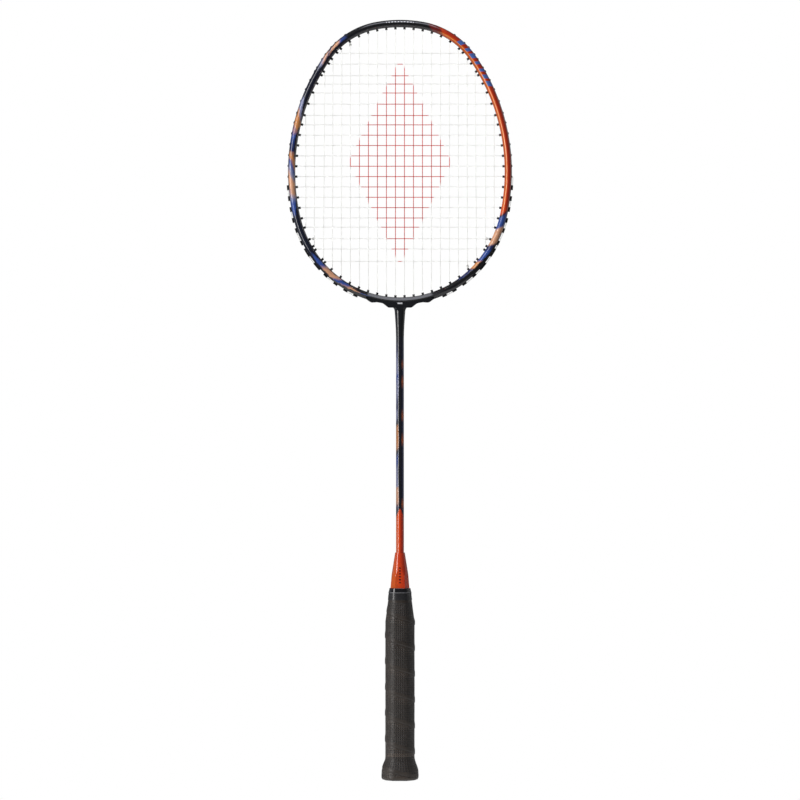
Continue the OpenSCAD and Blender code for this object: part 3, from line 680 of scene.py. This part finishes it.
class Graph:
    """A shader-graph writer: each method adds nodes and returns an output socket."""

    def __init__(self, name):
        self.material = bpy.data.materials.new(name)
        self.material.use_nodes = True
        self.tree = self.material.node_tree
        self.tree.nodes.clear()

    def add(self, kind, inputs=None, out=0, **settings):
        """One node, with its settings, and with a value or a link for each named input."""
        node = self.tree.nodes.new(kind)
        for key, value in settings.items():
            setattr(node, key, value)
        for key, value in (inputs or {}).items():
            if isinstance(value, bpy.types.NodeSocket):
                self.tree.links.new(value, node.inputs[key])
            else:
                node.inputs[key].default_value = value
        return node.outputs[out]

    def math(self, operation, a, b=0.0, c=0.0):
        return self.add("ShaderNodeMath", {0: a, 1: b, 2: c}, operation=operation)

    def product(self, first, *others):
        for other in others:
            first = self.math("MULTIPLY", first, other)
        return first

    def gap(self, value, middle):
        """Distance between a value and a constant."""
        return self.math("ABSOLUTE", self.math("SUBTRACT", value, middle))

    def beat(self, value, pitch):
        """Distance from the middle of each repeat, from 0 to 0.5."""
        return self.gap(self.math("FRACT", self.math("DIVIDE", value, pitch)), 0.5)

    def attribute(self, name):
        return self.add("ShaderNodeAttribute", out="Fac", attribute_name=name)

    def place(self):
        """Object coordinates in millimetres, as one vector."""
        coords = self.add("ShaderNodeTexCoord", out="Object")
        return self.add("ShaderNodeVectorMath", {0: coords, 3: 1000.0}, operation="SCALE")

    def axes(self, vector):
        node = self.tree.nodes.new("ShaderNodeSeparateXYZ")
        self.tree.links.new(vector, node.inputs[0])
        return node.outputs[0], node.outputs[1], node.outputs[2]

    def join(self, x, y, z):
        return self.add("ShaderNodeCombineXYZ", {0: x, 1: y, 2: z})

    def noise(self, vector, scale, detail=2.0, roughness=0.5):
        return self.add("ShaderNodeTexNoise", {"Vector": vector, "Scale": scale, "Detail": detail,
                                               "Roughness": roughness}, out="Fac")

    def cells(self, vector, scale, feature="F1"):
        return self.add("ShaderNodeTexVoronoi", {"Vector": vector, "Scale": scale}, out="Distance",
                        feature=feature)

    def span(self, value, low, high, to_low=0.0, to_high=1.0, smooth=False):
        """A value mapped from low..high to to_low..to_high, held constant outside."""
        kind = "SMOOTHSTEP" if smooth else "LINEAR"
        return self.add("ShaderNodeMapRange", {0: value, 1: low, 2: high, 3: to_low, 4: to_high},
                        clamp=True, interpolation_type=kind)

    def mix(self, factor, a, b, blend="MIX"):
        return self.add("ShaderNodeMix", {0: factor, 6: a, 7: b}, out=2, data_type="RGBA", blend_type=blend)

    def tinted(self, colour, tone):
        """A colour made lighter or darker by a tone."""
        return self.mix(1.0, colour, self.join(tone, tone, tone), blend="MULTIPLY")

    def ramp(self, value, stops):
        """Colours between (place, colour) stops, from 0 to 1."""
        node = self.tree.nodes.new("ShaderNodeValToRGB")
        elements = node.color_ramp.elements
        while len(elements) < len(stops):
            elements.new(0.5)
        for element, (position, _) in zip(elements, stops):
            element.position = position
        for element, (_, colour) in zip(elements, stops):
            element.color = colour
        self.tree.links.new(value, node.inputs[0])
        return node.outputs[0]

    def curve(self, value, knots, low=-1.5, high=1.5):
        """A level that follows (place, level) knots along a value."""
        first, last = knots[0][0], knots[-1][0]
        stops = [((p - first) / (last - first), grey((level - low) / (high - low))) for p, level in knots]
        return self.span(self.ramp(self.span(value, first, last), stops), 0, 1, low, high)

    def zones(self, value, zones, soft=1.2):
        """Colour zones along a value: zones are (end, colour), each fading into the next over soft."""
        colour = None
        start = 0.0
        for first in range(0, len(zones), ZONES_PER_RAMP):
            part = zones[first:first + ZONES_PER_RAMP]
            end = part[-1][0]
            length = end - start
            stops = [(0.0, part[0][1])]
            for (border, before), (_, after) in zip(part, part[1:]):
                at = (border - start) / length
                stops += [(at - soft / length, before), (at + soft / length, after)]
            made = self.ramp(self.span(value, start, end), stops)
            if colour is None:
                colour = made
            else:
                colour = self.mix(self.span(value, start - soft, start + soft), colour, made)
            start = end
        return colour

    def bump(self, height, strength, distance):
        inputs = {"Height": height, "Strength": strength, "Distance": distance * MM}
        return self.add("ShaderNodeBump", inputs)

    def finish(self, **inputs):
        """The material, with one Principled shader that has these inputs."""
        names = {key.replace("_", " ").title().replace("Ior", "IOR"): value for key, value in inputs.items()}
        shader = self.add("ShaderNodeBsdfPrincipled", names)
        output = self.tree.nodes.new("ShaderNodeOutputMaterial")
        self.tree.links.new(shader, output.inputs[0])
        return self.material


BLACK = srgb("121215")
EDGE_BLACK = srgb("0d0d12")
THROAT_BLACK = srgb("141519")
NAVY = srgb("131729")
SHAFT_NAVY = srgb("14161f")
DEEP = srgb("1f2a5c")
DIM_BLUE = srgb("23285a")
BLUE = srgb("334f9a")
BAR_BLUE = srgb("4c6cb4")
PALE = srgb("878cae")
PEACH = srgb("d8a07c")
WARM = srgb("cc8850")
RUST = srgb("c0602c")
# the amber for sides towards the key light and the hoop's, shaft's and cone's reds for sides away from it
# are partly painted light and shade; the gold is a painted highlight
AMBER_AND_LIGHT = srgb("b85a22")
HIGHLIGHT_GOLD = srgb("f2a248")
ORANGE = srgb("dc4a12")
BURNT_ORANGE = srgb("cc3a14")
SHAFT_RED_AND_SHADE = srgb("ac1f14")
HOOP_RED_AND_SHADE = srgb("a31e10")
CONE_RED_AND_SHADE = srgb("a01c12")
DARK_RED = srgb("6d1d18")
DASH_BROWN = srgb("2a1512")
WHITE_INK = srgb("d8d8dc")
TAPE_BLACK, RING_BLACK, LIP_HIGHLIGHT_GREY = srgb("1b1b1d"), srgb("101013"), srgb("77777a")
GRIP_BROWN, PIT_SHADE_BLACK = srgb("2f2822"), srgb("080808")
STRING_WHITE, INK_RED = srgb("fafaf7"), srgb("d01a10")
METAL = srgb("a4a6aa")
WOOD_DARK, WOOD, WOOD_LIGHT, PORE_BROWN = srgb("8e6637"), srgb("c79a63"), srgb("dcb680"), srgb("6c4a26")
PAPER = srgb("f4f4f2")

# Paint along the hoop, by distance from the top centre. Zones are (end, colour). Low and high are the
# borders of the painted band as (distance, side), where side goes from -1 inside to 1 outside.
LEFT_ZONES = [(53, BLACK), (58.5, BLUE), (70, PEACH), (75, DEEP), (81, PEACH), (86, PALE), (119, NAVY),
              (132, PALE), (146, WARM), (154, BLUE), (166, DEEP), (174, WARM), (180, BLUE), (187, PALE),
              (204, PEACH), (209, PALE), (222, BLUE), (260, NAVY), (274, BLUE), (289, PEACH), (300, BLUE),
              (313, PEACH), (321, BLUE), (352, BLACK)]
LEFT_LOW = [(0, -0.1), (50, -0.15), (90, 0.05), (118, 0.3), (130, -0.5), (140, -0.85), (150, -0.2),
            (164, -0.4), (174, -0.85), (206, -0.8), (224, 0.3), (258, -0.2), (275, -0.75), (300, -0.7),
            (320, -0.4), (352, 0.2)]
LEFT_HIGH = [(0, 0.8), (90, 0.75), (118, 0.84), (224, 0.84), (258, 0.35), (275, 0.5), (300, 0.4),
             (352, 0.1)]
RIGHT_ZONES = [(27, BLACK), (38, DARK_RED), (219, ORANGE), (221, NAVY), (233, BLUE), (249, PEACH),
               (255, DEEP), (267, BLUE), (276, WARM), (292, DEEP), (352, BLACK)]
RIGHT_LOW = [(0, -1.4), (240, -1.3), (266, -0.9), (280, -1.2), (352, -0.4)]
RIGHT_HIGH = [(0, 1.4), (222, 1.4), (240, 0.8), (258, 0.4), (268, -0.1), (290, -0.5), (352, -0.6)]
# slanted blue bars on the right shoulder, as (start, end)
BARS = [(55, 60), (64.5, 68), (70.5, 75.5), (79, 82), (86.5, 89.5), (92.5, 96.5), (99, 104)]


def band_mask(g, side, place, low, high, soft=0.16):
    """One between two edges that change along the hoop, zero outside them."""
    above = g.math("SUBTRACT", side, g.curve(place, low))
    below = g.math("SUBTRACT", g.curve(place, high), side)
    return g.span(g.math("MINIMUM", above, below), -soft, soft, smooth=True)


def lacquer(g, colour):
    """Clear-coated pearl lacquer over a base colour."""
    place = g.place()
    sparkle = g.span(g.cells(place, 5.5), 0.0, 0.7, 1.05, 0.96)
    tone = g.span(g.noise(place, 0.05, 3.0), 0.3, 0.7, 0.94, 1.06)
    peel = g.noise(place, 0.9, 2.0)
    wear = g.noise(place, 0.35, 4.0, 0.6)
    return g.finish(base_color=g.tinted(colour, g.product(sparkle, tone)),
                    roughness=g.span(wear, 0.3, 0.7, 0.26, 0.38), specular_ior_level=0.15,
                    coat_weight=1.0, coat_roughness=0.05, normal=g.bump(peel, 0.06, 0.06))


def left_paint(g, side, wavy, length, drift):
    """Camouflage zones over a dark ground that turns navy along the left side."""
    ground = g.mix(g.span(g.gap(length, 165.0), 95, 135), NAVY, BLACK)
    swing = g.math("MULTIPLY_ADD", g.math("SINE", g.math("DIVIDE", length, 9.0)), 4.0, 4.0)
    zones = g.zones(g.math("ADD", length, g.math("MULTIPLY_ADD", swing, side, drift)), LEFT_ZONES, 3.2)
    return g.mix(band_mask(g, wavy, length, LEFT_LOW, LEFT_HIGH), ground, zones)


def blue_bars(g, side, length):
    """One on the slanted bars, zero elsewhere."""
    tilted = g.math("MULTIPLY_ADD", side, -1.6, length)
    bars = 0.0
    for low, high in BARS:
        half = (high - low) / 2
        bars = g.math("MAXIMUM", bars, g.span(g.gap(tilted, low + half), half - 0.2, half + 0.2, 1.0, 0.0))
    return g.product(bars, g.span(side, -0.42, -0.34), g.span(side, 0.86, 0.94, 1, 0))


def right_paint(g, side, wavy, length, drift):
    """Orange with an amber inner and a red outer side, partly paint and partly painted light and shade, and
    a painted gold highlight line; then zones, then black.
    """
    slanted = g.math("MULTIPLY_ADD", drift, 0.25, g.math("MULTIPLY_ADD", side, 3.2, length))
    colour = g.mix(band_mask(g, wavy, length, RIGHT_LOW, RIGHT_HIGH), BLACK,
                   g.zones(slanted, RIGHT_ZONES, 1.0))
    on_orange = g.span(g.gap(length, 128.0), 84, 94, 1.0, 0.0)
    # across the orange: amber on the inner side, towards the key light, red and darker red on the outer
    # side, away from it; partly the paint's own tones, partly painted light and shade
    red = g.span(side, -0.3, 0.1, 0.0, 0.75)
    dark = g.span(side, 0.45, 0.95, 0.0, 0.6, smooth=True)
    amber = g.span(side, -0.9, 0.0, 0.75, 0.0)
    # a painted highlight: a thin gold line along the inner side
    line = g.span(g.gap(side, -0.46), 0.04, 0.13, 0.85, 0.0, smooth=True)
    for share, shade in ((red, HOOP_RED_AND_SHADE), (dark, DARK_RED), (amber, AMBER_AND_LIGHT), (line, HIGHLIGHT_GOLD)):
        colour = g.mix(g.product(share, on_orange), colour, shade)
    return g.mix(blue_bars(g, side, length), colour, BAR_BLUE)


def hoop_paint():
    g = Graph("hoop_lacquer")
    run, side = g.attribute("run"), g.attribute("side")
    place = g.place()
    length = g.math("ABSOLUTE", run)
    drift = g.product(g.math("SUBTRACT", g.noise(place, 0.16, 2.0), 0.5), 11.0)
    wavy = g.math("MULTIPLY_ADD", g.math("SUBTRACT", g.noise(place, 0.25, 2.0), 0.5), 0.9, side)
    colour = g.mix(g.span(run, -0.5, 0.5), left_paint(g, side, wavy, length, drift),
                   right_paint(g, side, wavy, length, drift))
    # black edge beside the string groove, down to the throat
    edge = g.product(g.span(side, 0.84, 0.93), g.span(length, 352, 356, 1.0, 0.0))
    colour = g.mix(edge, colour, EDGE_BLACK)
    # a plain row of small dashes at the top
    dashes = g.product(g.span(g.beat(run, 2.7), 0.26, 0.32, 1.0, 0.0), g.span(length, 11.9, 12.1, 1.0, 0.0),
                       g.span(g.gap(side, 0.42), 0.1, 0.14, 1.0, 0.0))
    return lacquer(g, g.mix(dashes, colour, WHITE_INK))


SHAFT_ZONES = [(238, NAVY), (242, DEEP), (257, PEACH), (274, PALE), (284, BLUE), (291, NAVY), (311, WARM),
               (318, NAVY), (328, PALE), (334, DEEP), (352, PALE), (358, BLUE), (376, PALE), (384, DEEP),
               (430, NAVY)]
SHAFT_SPOTS = [(240, 0), (245, 1), (251, 0), (296, 0), (302, 1), (309, 0), (318, 0), (323, 1), (330, 0),
               (347, 0), (354, 1), (360, 0), (364, 0), (369, 0.7), (374, 0)]
SHAFT_R = 3.5


def shaft_paint():
    g = Graph("shaft_lacquer")
    place = g.place()
    x, y, z = g.axes(place)
    swirl = g.product(g.math("SINE", g.math("ARCTAN2", y, x)), 5.0)
    drift = g.product(g.math("SUBTRACT", g.noise(place, 0.12, 2.0), 0.5), 12.0)
    height = g.math("ADD", z, g.math("ADD", swirl, drift))
    colours = g.mix(0.35, g.zones(height, SHAFT_ZONES, 2.0), NAVY)
    reach = g.product(g.span(z, 380, 396, 1.0, 0.0), g.span(z, 236, 240))
    # the pattern lies on the left third and, in soft spots, on the right edge
    sway = g.math("MULTIPLY_ADD", g.math("SINE", g.product(z, 0.12)), 0.45, x)
    colour = g.mix(g.product(g.span(sway, -1.9, -1.1, 1.0, 0.0), reach), SHAFT_NAVY, colours)
    colour = g.mix(g.product(g.span(x, 1.2, 3.0, 0.0, 0.7), reach), colour, DIM_BLUE)
    colour = g.mix(g.product(g.curve(z, SHAFT_SPOTS, 0, 1), g.span(x, 1.0, 2.2), reach), colour, RUST)
    # orange end with a pointed border
    bow = g.math("POWER", g.math("ABSOLUTE", g.math("DIVIDE", x, SHAFT_R)), 1.3)
    point = g.math("MULTIPLY_ADD", bow, 8.0, z)
    # amber on the left, towards the key light, and red on the right, away from it: partly the paint's own
    # tones, partly painted light and shade
    orange = g.mix(g.span(x, -3.0, -0.4, 0.75, 0.0), ORANGE, AMBER_AND_LIGHT)
    orange = g.mix(g.span(x, -0.3, 0.6, 0.0, 0.7, smooth=True), orange, SHAFT_RED_AND_SHADE)
    return lacquer(g, g.mix(g.span(point, 240.6, 241.6, 1.0, 0.0), colour, orange))


def cone_paint():
    g = Graph("cone_lacquer")
    place = g.place()
    x, _, z = g.axes(place)
    orange = g.mix(g.span(g.noise(place, 0.08, 2.0), 0.35, 0.65), ORANGE, BURNT_ORANGE)
    # amber on the left, towards the key light, and red on the right, away from it: partly the paint's own
    # tones, partly painted light and shade
    orange = g.mix(g.span(x, -6.0, -0.5, 0.75, 0.0), orange, AMBER_AND_LIGHT)
    orange = g.mix(g.span(x, -0.5, 5.0, 0.0, 0.6, smooth=True), orange, CONE_RED_AND_SHADE)
    # a plain row of small dashes on the front and back faces
    dashes = g.product(g.span(g.beat(z, 2.6), 0.22, 0.28, 1.0, 0.0),
                       g.span(g.gap(x, 0), 0.75, 0.85, 1.0, 0.0),
                       g.span(g.gap(z, 182.0), 6.9, 7.1, 1.0, 0.0))
    return lacquer(g, g.mix(dashes, orange, DASH_BROWN))


def throat_paint():
    g = Graph("throat_gloss")
    x, _, z = g.axes(g.place())
    # one short pale bar
    past = g.math("MAXIMUM", g.math("SUBTRACT", g.gap(x, 0), 2.2),
                  g.math("SUBTRACT", g.gap(z, 423.3), 0.65))
    return lacquer(g, g.mix(g.span(past, -0.1, 0.1, 1.0, 0.0), THROAT_BLACK, WHITE_INK))


def moulded(name, code, rough=0.42, grain=1.6, depth=0.05, coat=0.0):
    """Moulded plastic with a fine grain and slight colour variation."""
    g = Graph(name)
    place = g.place()
    tone = g.span(g.noise(place, 0.2, 3.0), 0.3, 0.7, 0.85, 1.2)
    colour = g.tinted(srgb(code), tone)
    grained = g.noise(place, grain, 3.0, 0.6)
    return g.finish(base_color=colour, roughness=g.span(grained, 0.3, 0.7, rough - 0.06, rough + 0.08),
                    coat_weight=coat, normal=g.bump(grained, 0.35, depth))


def tape_gloss():
    g = Graph("tape_gloss")
    place = g.place()
    x, y, z = g.axes(place)
    winding = g.math("MULTIPLY_ADD", g.math("ARCTAN2", y, x), 0.35, z)
    wrinkle = g.noise(g.join(g.product(winding, 2.0), g.product(x, 0.15), y), 0.35, 2.0)
    tone = g.span(wrinkle, 0.3, 0.7, 0.8, 1.25)
    collar = g.span(z, TAPE_RING_Z - 0.2, TAPE_RING_Z + 0.2)
    # a painted highlight: a thin pale grey line along the lip just below the ring
    lip = g.span(g.gap(z, TAPE_RING_Z - 0.4), 0.2, 0.6, 0.55, 0.0)
    colour = g.mix(lip, g.mix(collar, TAPE_BLACK, RING_BLACK), LIP_HIGHLIGHT_GREY)
    return g.finish(base_color=g.tinted(colour, tone), roughness=g.mix(collar, grey(0.42), grey(0.16)),
                    coat_weight=0.3, coat_roughness=0.15, normal=g.bump(wrinkle, 0.3, 0.15))


PIT_PITCH = 2.0
CREASE_PITCH = 18.0
TAPE_ROUND = 80.0


def grip_tape():
    """Perforated and creased grip tape, rubbed smoother beside its seams, drawn in the tape's own
    directions, with painted shade in its pits, painted shade and sheen at its seams and a painted highlight
    where the flare runs out.
    """
    g = Graph("grip_tape")
    turn, height = g.attribute("turn"), g.attribute("height")
    place = g.place()
    winding = g.math("ADD", g.math("DIVIDE", height, WRAP_PITCH), turn)
    across = g.product(g.math("FRACT", winding), WRAP_PITCH)
    along = g.product(turn, TAPE_ROUND)
    # pits, away from the seams and from the grip's ends, painted near-black inside as shade
    u, v = g.beat(along, PIT_PITCH), g.beat(height, PIT_PITCH)
    away = g.math("SQRT", g.math("ADD", g.product(u, u), g.product(v, v)))
    clear = g.product(g.span(across, 3.0, 3.6), g.span(across, 21.4, 22.0, 1.0, 0.0),
                      g.span(height, 157, 159, 1, 0), g.span(height, 3, 5))
    pit = g.product(g.span(away, 0.24, 0.42, 1.0, 0.0, smooth=True), clear)
    # shallow crossing creases pressed into the tape
    creases = [g.beat(g.math("MULTIPLY_ADD", along, lean, across), CREASE_PITCH) for lean in (0.9, -0.9)]
    crease = g.product(g.span(g.math("MINIMUM", *creases), 0.012, 0.04, 1.0, 0.0, smooth=True), clear)
    leather = g.cells(place, 1.9, feature="SMOOTH_F1")
    fine = g.noise(place, 2.6, 3.0, 0.65)
    worn = g.noise(place, 0.07, 3.0)
    raised = g.math("MULTIPLY_ADD", fine, 0.35, g.product(leather, 0.35))
    relief = g.math("SUBTRACT", raised, g.math("MULTIPLY_ADD", crease, 0.5, pit))
    # painted shade and sheen: dark below each seam and paler above it; and a painted highlight, pale, where
    # the flare runs out
    edge = g.product(g.span(across, 14.0, 21.6, 1.0, 1.6, smooth=True),
                     g.span(across, 21.8, 22.6, 1.0, 0.38))
    flare_highlight = g.product(g.span(g.gap(height, FLARE_Z + 1.4), 0.6, 2.4, 1.9, 0.0, smooth=True),
                    g.span(g.noise(place, 0.09, 2.0), 0.3, 0.55))
    shade = g.product(g.span(worn, 0.3, 0.7, 0.8, 1.25), g.math("ADD", edge, flare_highlight))
    colour = g.mix(pit, g.tinted(GRIP_BROWN, shade), PIT_SHADE_BLACK)
    # the raised stretch beside each seam is rubbed smoother
    rough = g.span(g.math("MULTIPLY_ADD", fine, 0.3, worn), 0.4, 0.9, 0.38, 0.54)
    rough = g.math("SUBTRACT", rough, g.span(across, 10.0, 19.0, 0.0, 0.11, smooth=True))
    return g.finish(base_color=colour, roughness=rough, sheen_weight=0.1, sheen_roughness=0.4,
                    normal=g.bump(relief, 0.6, 0.34))


RHOMBUS_Z = 549.0
RHOMBUS_HALF_X, RHOMBUS_HALF_Z = 46.0, 92.0


def string_nylon():
    """Clear white string with a fine twist, inked red inside a plain rhombus."""
    g = Graph("string_nylon")
    place = g.place()
    x, _, z = g.axes(place)
    along, around = g.attribute("along"), g.attribute("around")
    twist = g.math("SINE", g.math("MULTIPLY_ADD", along, 9.0, g.product(around, 4.0)))
    rhombus = g.math("ADD", g.math("DIVIDE", g.gap(x, 0), RHOMBUS_HALF_X),
                     g.math("DIVIDE", g.gap(z, RHOMBUS_Z), RHOMBUS_HALF_Z))
    ragged = g.math("MULTIPLY_ADD", g.math("SUBTRACT", g.noise(place, 0.6, 2.0), 0.5), 0.05, rhombus)
    ink = g.product(g.span(ragged, 0.985, 1.015, 1.0, 0.0),
                    g.span(g.noise(place, 0.5, 3.0), 0.3, 0.6, 0.88, 1.0))
    shade = g.product(g.span(g.noise(place, 0.03, 2.0), 0.35, 0.65, 0.95, 1.0),
                      g.span(twist, -1.0, 1.0, 0.95, 1.0))
    colour = g.mix(ink, g.tinted(STRING_WHITE, shade), INK_RED)
    return g.finish(base_color=colour, roughness=0.35, transmission_weight=0.75, specular_ior_level=0.3,
                    normal=g.bump(twist, 0.25, 0.03))


def tee_metal():
    g = Graph("tee_metal")
    place = g.place()
    x, y, z = g.axes(place)
    lathe = g.noise(g.join(x, y, g.product(z, 12.0)), 0.6, 2.0)
    tone = g.span(lathe, 0.3, 0.7, 0.85, 1.1)
    colour = g.tinted(METAL, tone)
    return g.finish(base_color=colour, metallic=1.0, roughness=g.span(lathe, 0.3, 0.7, 0.28, 0.42),
                    normal=g.bump(lathe, 0.2, 0.03))


def core_wood():
    g = Graph("handle_wood")
    x, y, z = g.axes(g.place())
    grain = g.noise(g.join(x, y, g.product(z, 0.05)), 0.9, 5.0, 0.6)
    fibres = g.join(g.product(x, 4.0), g.product(y, 4.0), g.product(z, 0.2))
    pores = g.noise(fibres, 0.8, 2.0)
    colour = g.ramp(grain, [(0.25, WOOD_DARK), (0.5, WOOD), (0.75, WOOD_LIGHT)])
    return g.finish(base_color=g.mix(g.span(pores, 0.62, 0.75, 0.0, 0.45), colour, PORE_BROWN),
                    roughness=g.span(grain, 0.3, 0.7, 0.55, 0.75), normal=g.bump(pores, 0.3, 0.06))


def floor_paper():
    g = Graph("floor_paper")
    tone = g.span(g.noise(g.place(), 0.02, 3.0), 0.3, 0.7, 0.97, 1.0)
    return g.finish(base_color=g.tinted(PAPER, tone), roughness=0.8, emission_color=grey(1.0),
                    emission_strength=0.1)


# ---- Pieces ----
def finish_piece(piece, node_name, material):
    """Give a piece its material, hang it on the root body and hide the CAD node that it replaces."""
    piece.data.materials.append(material)
    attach(piece, "root")
    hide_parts(node_name)


STRING_MATERIAL = string_nylon()
finish_piece(make_hoop(), "head_frame", hoop_paint())
finish_piece(make_string("string_mains", main_stations()), "main_strings", STRING_MATERIAL)
finish_piece(make_string("string_crosses", cross_stations()), "cross_strings",
             STRING_MATERIAL)
finish_piece(make_grip(), "grip_wrap", grip_tape())
finish_piece(make_tape(), "finishing_tape", tape_gloss())

# the lips stand for no CAD node: they are part of the grommets, in the same nylon
NYLON = moulded("nylon_black", "101012", 0.36, 1.8, 0.04, 0.25)
strip_lips = make_strip_lips()
strip_lips.data.materials.append(NYLON)
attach(strip_lips, "root")

CAD_LOOKS = {
    "throat_joint": throat_paint(),
    "t_joint": tee_metal(),
    "shaft": shaft_paint(),
    "cone_cap": cone_paint(),
    "handle_core": core_wood(),
    "butt_plate": moulded("butt_black", "151516", 0.5, 1.1, 0.08),
}
for node_name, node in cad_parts.items():
    look = NYLON if node_name.startswith("grommets") else CAD_LOOKS.get(node_name)
    if look is not None:
        for slot in node.material_slots:
            slot.material = look

# ---- Stage, lights and camera, in metres ----
MIDDLE = (LOW + HIGH) / 2
FLOOR_DROP = 0.08
FLOOR_RADIUS = 0.6
FLOOR_SIDES = 96
# name, place, size, power, colour and the point that the light faces
LIGHTS = [
    ("key", (-1.44, -1.08, 0.8), (0.55, 2.4), 35, (1.0, 0.99, 0.98), (0, 0, 0.35)),
    ("top", (0.0, -0.5, 2.15), (1.1, 1.4), 15, (0.88, 0.9, 1.0), (0, 0, 0.6)),
    ("rim", (-1.7, 0.5, 0.5), (0.4, 1.6), 1.5, (0.9, 0.93, 1.0), (0, 0, 0.4)),
    ("side", (2.2, 0.6, 0.6), (1.4, 2.0), 4, (1.0, 1.0, 1.0), (0, 0, 0.35)),
    ("back", (0.8, 2.0, 1.4), (1.4, 1.4), 12, (1.0, 1.0, 1.0), (0, 0, 0.35)),
]
WORLD_LIGHT = 0.12
CAMERA_DISTANCE = 4.0
SENSOR = 36.0
# share of the picture's height that the racket fills
FRAME_SHARE = 0.95


def make_floor():
    ring = [(FLOOR_RADIUS * math.cos(a), FLOOR_RADIUS * math.sin(a), LOW.z - FLOOR_DROP)
            for a in np.linspace(0, 2 * math.pi, FLOOR_SIDES + 1)[:-1]]
    mesh = bpy.data.meshes.new("floor")
    mesh.from_pydata(ring, [], [list(range(FLOOR_SIDES))])
    mesh.materials.append(floor_paper())
    link("floor", mesh)


def area_light(name, place, size, power, colour, target):
    data = bpy.data.lights.new(name, "AREA")
    data.shape = "RECTANGLE"
    data.size, data.size_y = size
    data.energy = power
    data.color = colour
    light = link(name, data)
    light.location = place
    light.rotation_euler = (Vector(target) - Vector(place)).to_track_quat("-Z", "Y").to_euler()
    light.visible_camera = False


def make_world():
    """White where it is seen, directly or through the strings, and dim where it lights the racket."""
    world = bpy.data.worlds.new("studio")
    bpy.context.scene.world = world
    world.use_nodes = True
    tree = world.node_tree
    tree.nodes.clear()
    lit, seen, path, either, blend, output = (tree.nodes.new("ShaderNode" + kind) for kind in (
        "Background", "Background", "LightPath", "Math", "MixShader", "OutputWorld"))
    seen.inputs[0].default_value = (1, 1, 1, 1)
    lit.inputs[0].default_value = (0.93, 0.95, 1, 1)
    lit.inputs[1].default_value = WORLD_LIGHT
    either.operation = "MAXIMUM"
    for source, target in ((path.outputs["Is Camera Ray"], either.inputs[0]),
                           (path.outputs["Is Transmission Ray"], either.inputs[1]),
                           (either.outputs[0], blend.inputs[0]), (lit.outputs[0], blend.inputs[1]),
                           (seen.outputs[0], blend.inputs[2]), (blend.outputs[0], output.inputs[0])):
        tree.links.new(source, target)


def make_camera():
    """A camera level with the racket's middle, straight in front of the string bed."""
    data = bpy.data.cameras.new("camera")
    data.sensor_width = SENSOR
    data.lens = SENSOR * CAMERA_DISTANCE / ((HIGH.z - LOW.z) / FRAME_SHARE)
    data.clip_end = 50
    camera = link("camera", data)
    camera.location = (MIDDLE.x, -CAMERA_DISTANCE, MIDDLE.z)
    camera.rotation_euler = (math.radians(90), 0, 0)
    bpy.context.scene.camera = camera


make_floor()
for light in LIGHTS:
    area_light(*light)
make_world()
make_camera()
bpy.context.scene.view_settings.view_transform = "Standard"
